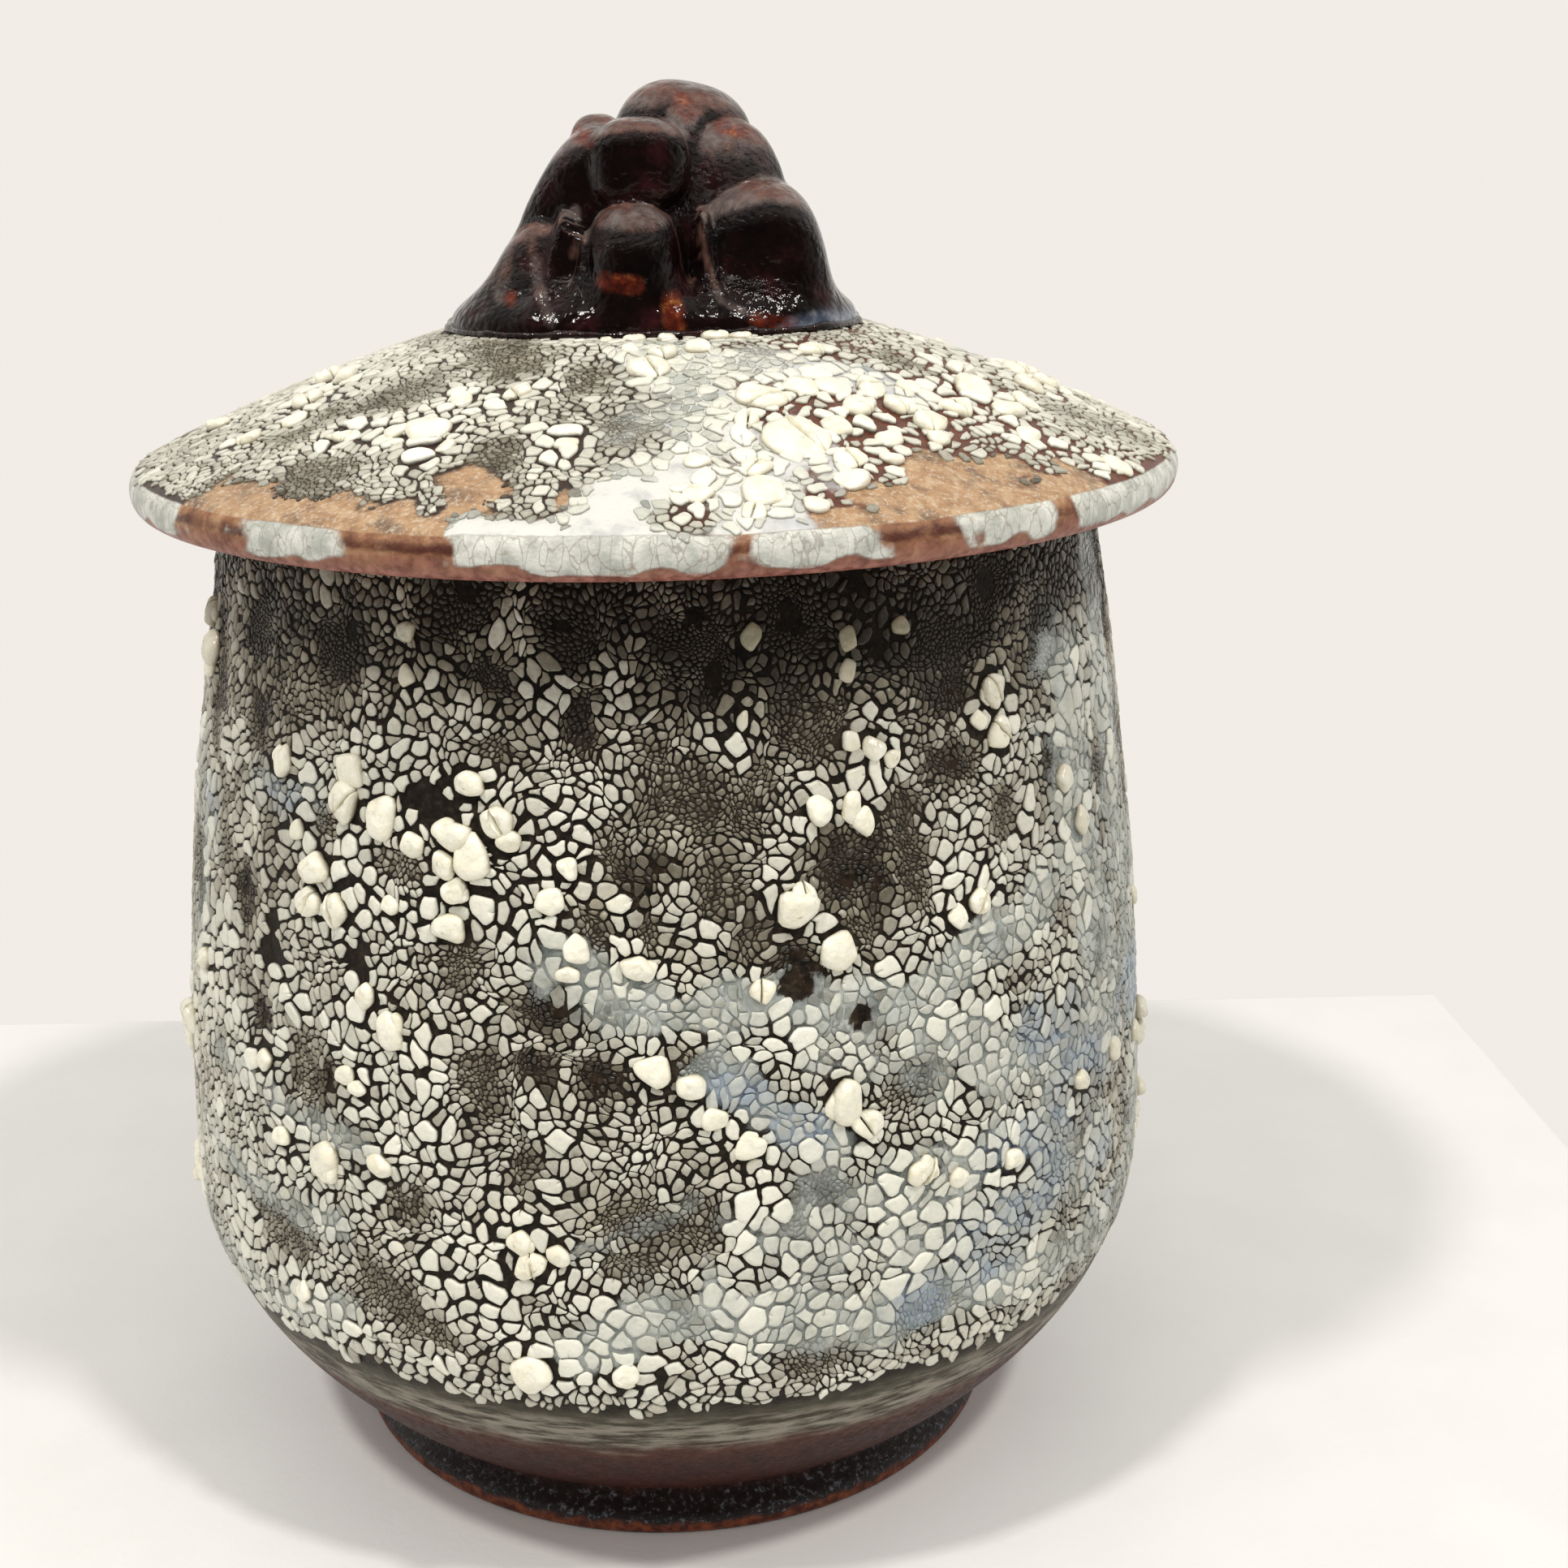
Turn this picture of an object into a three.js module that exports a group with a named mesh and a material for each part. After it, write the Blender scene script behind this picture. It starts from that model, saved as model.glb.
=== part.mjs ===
import * as THREE from 'three';

// Lidded stoneware jar with a crawled white glaze over a dark undercoat.
// Millimetres, +Z up. The origin is the centre of the foot, on the surface that it stands on.
// -Y is the front, the side on which the knob shows its stacked middle lobes.

// Round counts: facets round the axis, and steps along each curved stretch of a profile
const FACETS = 60;
const CURVE_STEPS = 6;

// Foot ring: a separately thrown ring, flared to its lower edge
const FOOT_RADIUS = 54.2;
const FOOT_NECK_RADIUS = 49.5;
const FOOT_INNER_RADIUS = 43.0;
const FOOT_HEIGHT = 9.5;
const FOOT_EDGE_HEIGHT = 3.4;
const FOOT_NECK_CURVE = 4.0;
const FOOT_BEVEL = 0.8;
const FOOT_BEVEL_HEIGHT = 1.6;
const FOOT_INNER_FLARE = 3.2;

// Jar wall: radii and heights of its outer face
const UNDERSIDE_RADIUS = 57.5;
const UNDERSIDE_RISE = 1.5;
const BELLY_RADIUS = 78.7;
const BELLY_HEIGHT = 47.0;
const BELLY_ROUNDING = 14.0;
const UNDERSIDE_SWEEP_RADIUS = 66.0;
const UNDERSIDE_SWEEP_HEIGHT = 18.5;
const WALL_SWELL = 38.0;
const SHOULDER_RADIUS = 72.8;
const SHOULDER_HEIGHT = 122.0;
const RIM_RADIUS = 67.3;
const RIM_HEIGHT = 155.0;
const WALL = 5.8;
const FLOOR_THICKNESS = 6.5;
const LIP_ROUNDING = 1.2;

// The rim dried out of level: its plane climbs towards +X, and the lid lies along it
const RIM_SLOPE = 0.0148;
const WARP_HEIGHT = 50.0;

// Lid: a shallow dome with a thick rounded edge that overhangs the jar
const LID_RADIUS = 80.0;
const LID_EDGE_THICKNESS = 7.1;
const LID_EDGE_ROUNDING = 3.2;
const LID_RISE = 24.1;
const LID_CROWN_THICKNESS = 7.0;
const LID_DOME_SWELL = 1.1;
const LID_LAND_MARGIN = 0.6;

// Flange: the collar under the lid that keeps it centred in the mouth
const FLANGE_CLEARANCE = 1.2;
const FLANGE_THICKNESS = 4.0;
const FLANGE_DEPTH = 8.0;
const FLANGE_CHAMFER = 1.0;

// Clearance between pieces that rest on one another
const SEAT_GAP = 0.3;

// Knob: hand-pressed lobes of clay, glazed almost black, leaning a little to +X at the top
const KNOB_BASE_RADIUS = 31.0;
const KNOB_HEIGHT = 35.4;
const KNOB_LEAN = 4.6;
const KNOB_CREASE_BLEND = 1.6;
const KNOB_SKIRT_BLEND = 4.0;
const KNOB_SKIRT_DEPTH = 23.5;
const KNOB_SKIRT_HEIGHT = 8.5;
const KNOB_SQUARENESS = 2.5;
const KNOB_AROUND = 48;
const KNOB_ROWS = 18;

// Each lobe: centre and half sizes from the middle of the knob's base, and its sideways lean in degrees
const KNOB_LOBES = [
  { at: [1.0, 1.0, 8.0], half: [18.5, 15.5, 19.5], lean: 0 },      // core
  { at: [4.6, 4.5, 23.4], half: [11.0, 10.0, 11.8], lean: 12 },    // crest
  { at: [-7.4, -1.0, 25.4], half: [4.4, 5.2, 5.2], lean: 0 },      // small nub beside the crest
  { at: [-11.8, -5.5, 17.0], half: [6.6, 8.0, 13.0], lean: 30 },   // left ridge
  { at: [-17.2, -5.0, 5.0], half: [7.8, 10.0, 12.2], lean: 30 },   // left foot of the ridge
  { at: [-0.6, -8.5, 22.0], half: [7.4, 9.0, 9.4], lean: -4 },     // middle lobe, upper
  { at: [-1.6, -12.0, 9.5], half: [7.4, 9.6, 9.5], lean: 0 },      // middle lobe, lower
  { at: [12.2, -3.0, 20.5], half: [7.6, 9.0, 8.6], lean: -20 },    // right shoulder
  { at: [16.4, -6.5, 8.5], half: [9.6, 12.0, 12.6], lean: -14 },   // right lobe
  { at: [10.5, 10.0, 12.5], half: [11.5, 9.5, 13.0], lean: -10 },  // back right lobe
  { at: [-9.0, 9.5, 9.0], half: [12.0, 9.6, 14.0], lean: 18 },     // back left lobe
];

// Colours of fired clay and glazes
const COLORS = {
  crawlGlaze: 0xb9b6a6,
  footClay: 0x4a2a20,
  lidGlaze: 0xbdb8a8,
  flangeClay: 0x9a6a58,
  knobGlaze: 0x1d0f0b,
};

function stoneware(color, roughness) {
  return new THREE.MeshStandardMaterial({ color, roughness, metalness: 0 });
}

// Turns a closed outline of (radius, height) points about the vertical axis.
function turned(points) {
  const geometry = new THREE.LatheGeometry(points, FACETS);
  geometry.rotateX(Math.PI / 2);
  return geometry;
}

function curvePoints(curve) {
  return curve.getPoints(CURVE_STEPS);
}

// A point of the curve moved square to it, to the left of its direction.
function offsetPoint(curve, t, distance) {
  const point = curve.getPoint(t);
  const along = curve.getTangent(t);
  return new THREE.Vector2(point.x - along.y * distance, point.y + along.x * distance);
}

// Outer face of the wall in two sweeps: underside to belly, then belly to rim.
function wallCurves() {
  const undersideHeight = FOOT_HEIGHT + UNDERSIDE_RISE;
  const lower = new THREE.CubicBezierCurve(
    new THREE.Vector2(UNDERSIDE_RADIUS, undersideHeight),
    new THREE.Vector2(UNDERSIDE_SWEEP_RADIUS, UNDERSIDE_SWEEP_HEIGHT),
    new THREE.Vector2(BELLY_RADIUS, BELLY_HEIGHT - BELLY_ROUNDING),
    new THREE.Vector2(BELLY_RADIUS, BELLY_HEIGHT),
  );
  const upper = new THREE.CubicBezierCurve(
    new THREE.Vector2(BELLY_RADIUS, BELLY_HEIGHT),
    new THREE.Vector2(BELLY_RADIUS, BELLY_HEIGHT + WALL_SWELL),
    new THREE.Vector2(SHOULDER_RADIUS, SHOULDER_HEIGHT),
    new THREE.Vector2(RIM_RADIUS, RIM_HEIGHT),
  );
  return { lower, upper };
}

// Bends the jar's upper part so that the rim's plane has its slope.
function warpRim(geometry) {
  const position = geometry.attributes.position;
  const start = RIM_HEIGHT - WARP_HEIGHT;
  for (let i = 0; i < position.count; i += 1) {
    const share = THREE.MathUtils.smoothstep(position.getZ(i), start, RIM_HEIGHT);
    position.setZ(i, position.getZ(i) + share * RIM_SLOPE * position.getX(i));
  }
  return geometry;
}

function jarBody() {
  const { lower, upper } = wallCurves();
  const floorHeight = FOOT_HEIGHT + FLOOR_THICKNESS;
  const outer = [
    ...curvePoints(lower),
    ...curvePoints(upper).slice(1, -1),
    new THREE.Vector2(RIM_RADIUS, RIM_HEIGHT - LIP_ROUNDING),
    new THREE.Vector2(RIM_RADIUS - LIP_ROUNDING, RIM_HEIGHT),
  ];
  const inner = [
    new THREE.Vector2(RIM_RADIUS - WALL + LIP_ROUNDING, RIM_HEIGHT),
    new THREE.Vector2(RIM_RADIUS - WALL, RIM_HEIGHT - LIP_ROUNDING),
  ];
  for (let step = CURVE_STEPS - 1; step >= 0; step -= 1) {
    inner.push(offsetPoint(upper, step / CURVE_STEPS, WALL));
  }
  for (let step = CURVE_STEPS - 1; step > 0; step -= 1) {
    const point = offsetPoint(lower, step / CURVE_STEPS, WALL);
    if (point.y > floorHeight + LIP_ROUNDING) inner.push(point);
  }
  const corner = inner[inner.length - 1].x - FLOOR_THICKNESS;
  const outline = [
    new THREE.Vector2(0, FOOT_HEIGHT),
    new THREE.Vector2(FOOT_NECK_RADIUS, FOOT_HEIGHT),
    ...outer,
    ...inner,
    new THREE.Vector2(corner, floorHeight),
    new THREE.Vector2(0, floorHeight),
  ];
  return warpRim(turned(outline));
}

function footRing() {
  const neck = new THREE.QuadraticBezierCurve(
    new THREE.Vector2(FOOT_RADIUS, FOOT_EDGE_HEIGHT),
    new THREE.Vector2(FOOT_NECK_RADIUS, FOOT_EDGE_HEIGHT + FOOT_NECK_CURVE - FOOT_BEVEL),
    new THREE.Vector2(FOOT_NECK_RADIUS, FOOT_HEIGHT),
  );
  const outline = [
    new THREE.Vector2(FOOT_INNER_RADIUS + FOOT_INNER_FLARE, 0),
    new THREE.Vector2(FOOT_RADIUS - FOOT_BEVEL, 0),
    new THREE.Vector2(FOOT_RADIUS, FOOT_BEVEL_HEIGHT),
    ...curvePoints(neck),
    new THREE.Vector2(FOOT_INNER_RADIUS, FOOT_HEIGHT),
    new THREE.Vector2(FOOT_INNER_RADIUS + FOOT_INNER_FLARE, 0),
  ];
  return turned(outline);
}

// The lid's own frame: height 0 is the plane of the jar's rim.
const lidLandHeight = SEAT_GAP + LID_RISE;
const lidLandRadius = KNOB_BASE_RADIUS + LID_LAND_MARGIN;
const flangeOuterRadius = RIM_RADIUS - WALL - FLANGE_CLEARANCE;
const flangeInnerRadius = flangeOuterRadius - FLANGE_THICKNESS;

function lidDome() {
  const edgeTop = SEAT_GAP + LID_EDGE_THICKNESS;
  const edgeMiddle = SEAT_GAP + LID_EDGE_THICKNESS / 2;
  const slopeStart = new THREE.Vector2(lidLandRadius, lidLandHeight);
  const slopeEnd = new THREE.Vector2(LID_RADIUS - LID_EDGE_ROUNDING, edgeTop);
  const swollen = (share) => {
    const point = slopeStart.clone().lerp(slopeEnd, share);
    return point.setY(point.y + LID_DOME_SWELL);
  };
  const slope = new THREE.CubicBezierCurve(slopeEnd, swollen(2 / 3), swollen(1 / 3), slopeStart);
  const edgeUnder = new THREE.QuadraticBezierCurve(
    new THREE.Vector2(LID_RADIUS - LID_EDGE_ROUNDING, SEAT_GAP),
    new THREE.Vector2(LID_RADIUS, SEAT_GAP),
    new THREE.Vector2(LID_RADIUS, edgeMiddle),
  );
  const edgeOver = new THREE.QuadraticBezierCurve(
    new THREE.Vector2(LID_RADIUS, edgeMiddle),
    new THREE.Vector2(LID_RADIUS, edgeTop - LID_EDGE_THICKNESS / 8),
    slopeEnd,
  );
  const hollowHeight = lidLandHeight - LID_CROWN_THICKNESS;
  const hollow = new THREE.CubicBezierCurve(
    new THREE.Vector2(0, hollowHeight),
    new THREE.Vector2(flangeInnerRadius / 2, hollowHeight),
    new THREE.Vector2(flangeInnerRadius, hollowHeight / 2),
    new THREE.Vector2(flangeInnerRadius, SEAT_GAP),
  );
  const outline = [
    ...curvePoints(hollow),
    ...curvePoints(edgeUnder),
    ...curvePoints(edgeOver).slice(1),
    ...curvePoints(slope).slice(1),
    new THREE.Vector2(0, lidLandHeight),
  ];
  return turned(outline);
}

function lidFlange() {
  const outline = [
    new THREE.Vector2(flangeInnerRadius, -FLANGE_DEPTH + FLANGE_CHAMFER),
    new THREE.Vector2(flangeInnerRadius + FLANGE_CHAMFER, -FLANGE_DEPTH),
    new THREE.Vector2(flangeOuterRadius - FLANGE_CHAMFER, -FLANGE_DEPTH),
    new THREE.Vector2(flangeOuterRadius, -FLANGE_DEPTH + FLANGE_CHAMFER),
    new THREE.Vector2(flangeOuterRadius, 0),
    new THREE.Vector2(flangeInnerRadius, 0),
    new THREE.Vector2(flangeInnerRadius, -FLANGE_DEPTH + FLANGE_CHAMFER),
  ];
  return turned(outline);
}

// Distance from a point to the surface of a lobe, an ellipsoid squared off a little; negative inside.
function lobeDistance(point, { at, half, lean }) {
  const angle = THREE.MathUtils.degToRad(lean);
  const x = point.x - at[0];
  const z = point.z - at[2];
  const offsets = [
    Math.abs(x * Math.cos(angle) - z * Math.sin(angle)) / half[0],
    Math.abs(point.y - at[1]) / half[1],
    Math.abs(x * Math.sin(angle) + z * Math.cos(angle)) / half[2],
  ];
  const power = KNOB_SQUARENESS;
  const near = offsets.reduce((sum, offset) => sum + offset ** power, 0) ** (1 / power);
  if (near === 0) return -Math.min(...half);
  const slope = Math.hypot(...offsets.map((offset, i) => (offset / near) ** (power - 1) / half[i]));
  return (near - 1) / slope;
}

// Joins two distances with a crease filled to the given width.
function blended(a, b, width) {
  const share = Math.max(width - Math.abs(a - b), 0) / width;
  return Math.min(a, b) - (share * share * width) / 4;
}

function knobDistance(point) {
  const lobes = KNOB_LOBES.map((lobe) => lobeDistance(point, lobe));
  const mass = lobes.reduce((a, b) => blended(a, b, KNOB_CREASE_BLEND));
  const skirtHalf = [KNOB_BASE_RADIUS, KNOB_SKIRT_DEPTH, KNOB_SKIRT_HEIGHT];
  const skirt = lobeDistance(point, { at: [0, 0, 0], half: skirtHalf, lean: 0 });
  return blended(mass, skirt, KNOB_SKIRT_BLEND);
}

// Where a ray from inside the knob last leaves it.
function knobReach(origin, direction) {
  const farthest = KNOB_HEIGHT + KNOB_BASE_RADIUS;
  const point = new THREE.Vector3();
  let reach = farthest;
  for (let step = 0; step < 200 && reach > 0; step += 1) {
    point.copy(origin).addScaledVector(direction, reach);
    const distance = knobDistance(point);
    if (distance < 0.01) break;
    reach -= Math.max(distance * 0.6, 0.01);
  }
  return point.clone();
}

// Rings of points from the flat base to the crest, closed by a fan at each end.
function knobSurface() {
  const positions = [];
  const triangles = [];
  const origin = new THREE.Vector3();
  const direction = new THREE.Vector3();
  for (let row = 0; row <= KNOB_ROWS; row += 1) {
    const share = row / KNOB_ROWS;
    const climb = (Math.PI / 2) * share ** 1.3;
    origin.set(KNOB_LEAN * share, 0, (KNOB_HEIGHT / 2) * share);
    const count = row < KNOB_ROWS ? KNOB_AROUND : 1;
    for (let spoke = 0; spoke < count; spoke += 1) {
      const turn = (2 * Math.PI * spoke) / KNOB_AROUND;
      direction.set(Math.cos(turn) * Math.cos(climb), Math.sin(turn) * Math.cos(climb), Math.sin(climb));
      const point = knobReach(origin, direction);
      positions.push(point.x, point.y, point.z);
    }
  }
  const crest = KNOB_ROWS * KNOB_AROUND;
  const baseCentre = crest + 1;
  positions.push(0, 0, 0);
  for (let row = 0; row < KNOB_ROWS; row += 1) {
    for (let spoke = 0; spoke < KNOB_AROUND; spoke += 1) {
      const next = (spoke + 1) % KNOB_AROUND;
      const here = row * KNOB_AROUND;
      const above = here + KNOB_AROUND;
      if (row === 0) triangles.push(baseCentre, here + next, here + spoke);
      if (row < KNOB_ROWS - 1) {
        triangles.push(here + spoke, here + next, above + next);
        triangles.push(here + spoke, above + next, above + spoke);
      } else {
        triangles.push(here + spoke, here + next, crest);
      }
    }
  }
  const geometry = new THREE.BufferGeometry();
  geometry.setAttribute('position', new THREE.Float32BufferAttribute(positions, 3));
  geometry.setIndex(triangles);
  geometry.computeVertexNormals();
  return geometry;
}

function named(name, geometry, material) {
  const mesh = new THREE.Mesh(geometry, material);
  mesh.name = name;
  return mesh;
}

const jar = new THREE.Group();
jar.add(named('jar_body', jarBody(), stoneware(COLORS.crawlGlaze, 0.35)));
jar.add(named('foot_ring', footRing(), stoneware(COLORS.footClay, 0.7)));

// Everything on the lid lies along the rim's sloping plane.
const lidAssembly = new THREE.Group();
lidAssembly.position.z = RIM_HEIGHT;
lidAssembly.rotation.y = -Math.atan(RIM_SLOPE);
lidAssembly.add(named('lid', lidDome(), stoneware(COLORS.lidGlaze, 0.35)));
lidAssembly.add(named('lid_flange', lidFlange(), stoneware(COLORS.flangeClay, 0.8)));
const knob = named('lid_knob', knobSurface(), stoneware(COLORS.knobGlaze, 0.12));
knob.position.z = lidLandHeight + SEAT_GAP;
lidAssembly.add(knob);
jar.add(lidAssembly);

export default jar;
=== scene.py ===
import math

import bpy
import numpy as np
from bpy.props import FloatProperty, FloatVectorProperty, IntProperty, PointerProperty
from mathutils import Matrix, Vector
from mathutils.kdtree import KDTree


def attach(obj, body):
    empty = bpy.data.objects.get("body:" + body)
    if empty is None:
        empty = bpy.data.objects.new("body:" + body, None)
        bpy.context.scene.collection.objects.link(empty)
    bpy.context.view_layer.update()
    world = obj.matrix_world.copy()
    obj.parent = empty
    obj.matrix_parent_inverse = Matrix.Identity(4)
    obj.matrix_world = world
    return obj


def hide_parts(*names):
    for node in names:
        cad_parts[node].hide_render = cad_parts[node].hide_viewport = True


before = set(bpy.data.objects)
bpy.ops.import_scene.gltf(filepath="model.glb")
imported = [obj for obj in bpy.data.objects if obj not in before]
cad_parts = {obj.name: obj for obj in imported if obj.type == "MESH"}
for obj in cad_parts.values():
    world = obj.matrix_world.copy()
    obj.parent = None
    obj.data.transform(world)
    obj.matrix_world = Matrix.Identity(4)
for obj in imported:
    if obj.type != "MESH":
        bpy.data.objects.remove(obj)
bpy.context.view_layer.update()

bl_info = {
    "name": "Crawl glaze jar",
    "version": (1, 0, 0),
    "blender": (4, 5, 0),
    "location": "3D View > Sidebar > Glaze Jar",
    "description": "Dresses a lidded stoneware jar in crawled glaze, beads, veils and a dark lobed knob",
    "category": "Add Mesh",
}

# Sizes in millimetres unless a name says otherwise; meshes are written in metres.
METRE = 0.001
UNROLL_RADIUS = 76.0  # the wall is unrolled at this radius
GIRTH = 2 * math.pi * UNROLL_RADIUS
RIM_HEIGHT = 155.0
RIM_SLOPE = 0.0148
WARP_HEIGHT = 50.0  # how far below the rim its slope has faded out
CHART_GRID = 0.5  # spacing of the charts over the unrolled surfaces
STREW_GRID = 0.2  # spacing of the places where an island's middle may be

# Fine crackle where the glaze ran thin: angle from the front in degrees, height, half width, half height
WALL_THIN = [
    (-39, 141, 5, 7), (-55, 143, 4, 5), (-19, 131, 3, 3), (-22, 103, 3.5, 5), (-29, 114, 4, 2.5),
    (-9, 136, 3.5, 4), (0, 126, 4.5, 8), (8, 125, 3, 5), (-8, 108, 3, 5), (-6, 118, 3, 4), (-22, 150, 6, 4),
    (-19, 141, 5, 5), (4, 145, 6, 8), (14, 148, 5, 6), (17, 134, 6, 5), (33, 135, 5, 4), (33, 126, 6, 4),
    (40, 117, 3, 5), (32, 142, 6, 5), (40, 149, 5, 5), (50, 138, 3, 5), (19, 114, 6, 7), (13, 102, 4, 4),
    (5, 113, 4, 4), (26, 118, 4, 3), (49, 122, 2, 4), (-42, 82, 4, 7), (-50, 86, 2.5, 4), (-20, 87, 5, 6),
    (-14, 98, 4, 4), (-14, 89, 4, 3), (-7, 88, 3, 3), (-47, 55, 7, 5), (-4, 68, 7, 5), (-4, 61, 6, 4),
    (-28, 67, 4, 3), (-15, 74, 3, 5), (-31, 51, 7, 4), (-25, 47, 6, 4), (2, 90, 4, 3), (2, 66, 5, 6),
    (12, 66, 2, 3), (24, 82, 5, 4), (14, 70, 5, 3), (28, 47, 6, 4), (14, 44, 6, 3), (-54, 130, 3, 5),
    (-40, 118, 3, 3), (-54, 104, 3, 5), (-11, 148, 5, 5), (62, 118, 4, 6), (-66, 132, 4, 8), (-70, 100, 4, 7),
    (14, 138, 2.5, 2.5), (3, 124, 3.5, 5), (10, 127, 2.5, 4), (20, 106, 5, 5), (27, 112, 3, 6),
    (9, 107, 3, 4), (26, 121, 4, 3), (-2, 108, 2.5, 3),
]
# Dark iron-brown blurs in the thin glaze: angle, height, half width, half height
WALL_BLURS = [
    (-52, 129, 1.5, 3), (-9, 135, 2, 3), (-3, 114, 1.6, 3), (0, 117, 3, 1.6), (-12, 98, 2.5, 3.5),
    (-54, 104, 1.4, 2.5), (4, 149, 5, 6), (14, 148, 4.5, 5), (22, 152, 3, 4), (40, 149, 3, 4),
    (24, 144, 1.5, 3.5), (17, 118, 1.6, 2.6), (19, 113, 2, 2.5), (22, 112, 2, 4.2), (13, 103, 2.4, 2.2),
    (15, 100, 2, 1.6), (49, 122, 1.2, 3), (-39, 81, 2.4, 2.6), (-14, 90, 1.6, 1.8), (-13, 88, 1.5, 2),
    (-7, 88, 1.8, 1.6), (-50, 86, 1.6, 3), (-37, 145, 2.5, 4), (33, 126, 3.5, 2), (8, 66, 1, 1.6),
    (20, 94, 1.4, 1.4), (-22, 152, 5, 2.5), (-11, 148, 3.5, 4.5), (5, 141, 3, 3), (33, 135, 3, 2),
    (-35, 39, 3, 1.4),
]
# Bare patches with no glaze: angle, height, half width, half height
WALL_BARE = [
    (-25.5, 123.4, 4.2, 2.8), (-47.8, 98.2, 1.8, 3.2), (-34.8, 101.6, 1.9, 3.2), (13, 99.5, 2.2, 1.6),
    (19.8, 94.1, 1.3, 1.4),
]
# Raised beads: angle, height, width, height over width
WALL_BEADS = [
    (-46.9, 125.2, 3.6, 1.1), (-36.2, 126.4, 4.2, 1.1), (-36.5, 121.5, 4.2, 1.2), (-31.5, 120.8, 4.6, 1.2),
    (-21.2, 126.7, 4.2, 0.9), (-18, 122.2, 4.4, 0.9), (-22.6, 119.4, 4.6, 0.9), (-20.6, 116.4, 4.6, 1.1),
    (-23.6, 115.6, 3.6, 1), (-40.5, 111.5, 4.4, 1), (-41.6, 106.6, 4.2, 1.1), (-37.3, 106.7, 4, 1.1),
    (-22.8, 107, 4.4, 0.8), (-21.6, 104.6, 3.6, 0.8), (-30.2, 108.9, 2.6, 1), (-33.1, 95.8, 2.8, 1.1),
    (-29.9, 91.5, 3.8, 1.2), (-31.2, 90.4, 3, 1), (-35.8, 83.3, 3, 1.1), (-34.1, 82.1, 2.4, 1),
    (-38.9, 69.4, 4.3, 1.2), (-14.8, 44, 4.8, 0.9), (-5.3, 44.4, 3.4, 1), (-10.2, 116.4, 2.6, 1),
    (8.2, 135.1, 1.7, 1.5), (16.1, 122.7, 3.4, 1), (19.7, 122.6, 3.2, 1.3), (21, 120.6, 3, 1.2),
    (13, 110.1, 5.4, 0.9), (17.6, 103.9, 4.6, 1), (39.3, 134.2, 3.6, 1.1), (36.7, 130.9, 2.6, 1),
    (39.8, 128.5, 3.8, 1.2), (9.4, 145.9, 2.6, 1.2), (20.4, 144.4, 2.4, 1.3), (20.2, 140.2, 2.2, 1.2),
    (27, 145.1, 2.6, 1), (-1.8, 89.3, 4.6, 0.8), (1.8, 86.8, 4, 0.8), (9.3, 99.6, 3.4, 1),
    (17.9, 82.3, 4.2, 1.3), (20.1, 78.6, 4, 1), (26.6, 70.2, 3.8, 1), (30.7, 67.5, 3, 0.9),
    (38.2, 67.4, 3, 1), (7.7, 77.7, 3.2, 1), (4.1, 82.2, 3, 1), (-15.6, 64, 3.2, 1), (-14.8, 60.4, 3.6, 1),
    (-11.5, 62.1, 2.8, 1), (-10.2, 102.4, 3, 0.8), (-3.2, 103.6, 3.8, 0.8), (-9.4, 105.7, 3, 1.2),
    (34.8, 106.5, 3.4, 1), (31.9, 105.1, 2.8, 1), (22.5, 129.8, 3, 1), (20.1, 131.2, 2.4, 1),
    (-29.3, 145.8, 2.6, 1), (-29, 140, 2.4, 1.2), (-22.4, 112, 3.4, 1), (-49.1, 80.6, 3, 1.1),
    (-45.5, 70.4, 3, 1), (-43.3, 46.9, 2.6, 1), (50.9, 73.3, 3, 1), (60, 73.7, 3, 1.1), (-31.1, 71.1, 3.4, 1),
    (-65.1, 89.2, 3.4, 1), (-73.1, 75.8, 4.2, 1.2), (51.2, 119, 3.2, 1.2), (54.2, 112, 3.2, 1.2),
    (24.9, 128.3, 2.4, 1), (-27.5, 117.8, 3.2, 1), (-16.4, 119.4, 3, 1), (-44, 116, 2.6, 1.1),
    (-12, 112, 3, 1),
]
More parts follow.
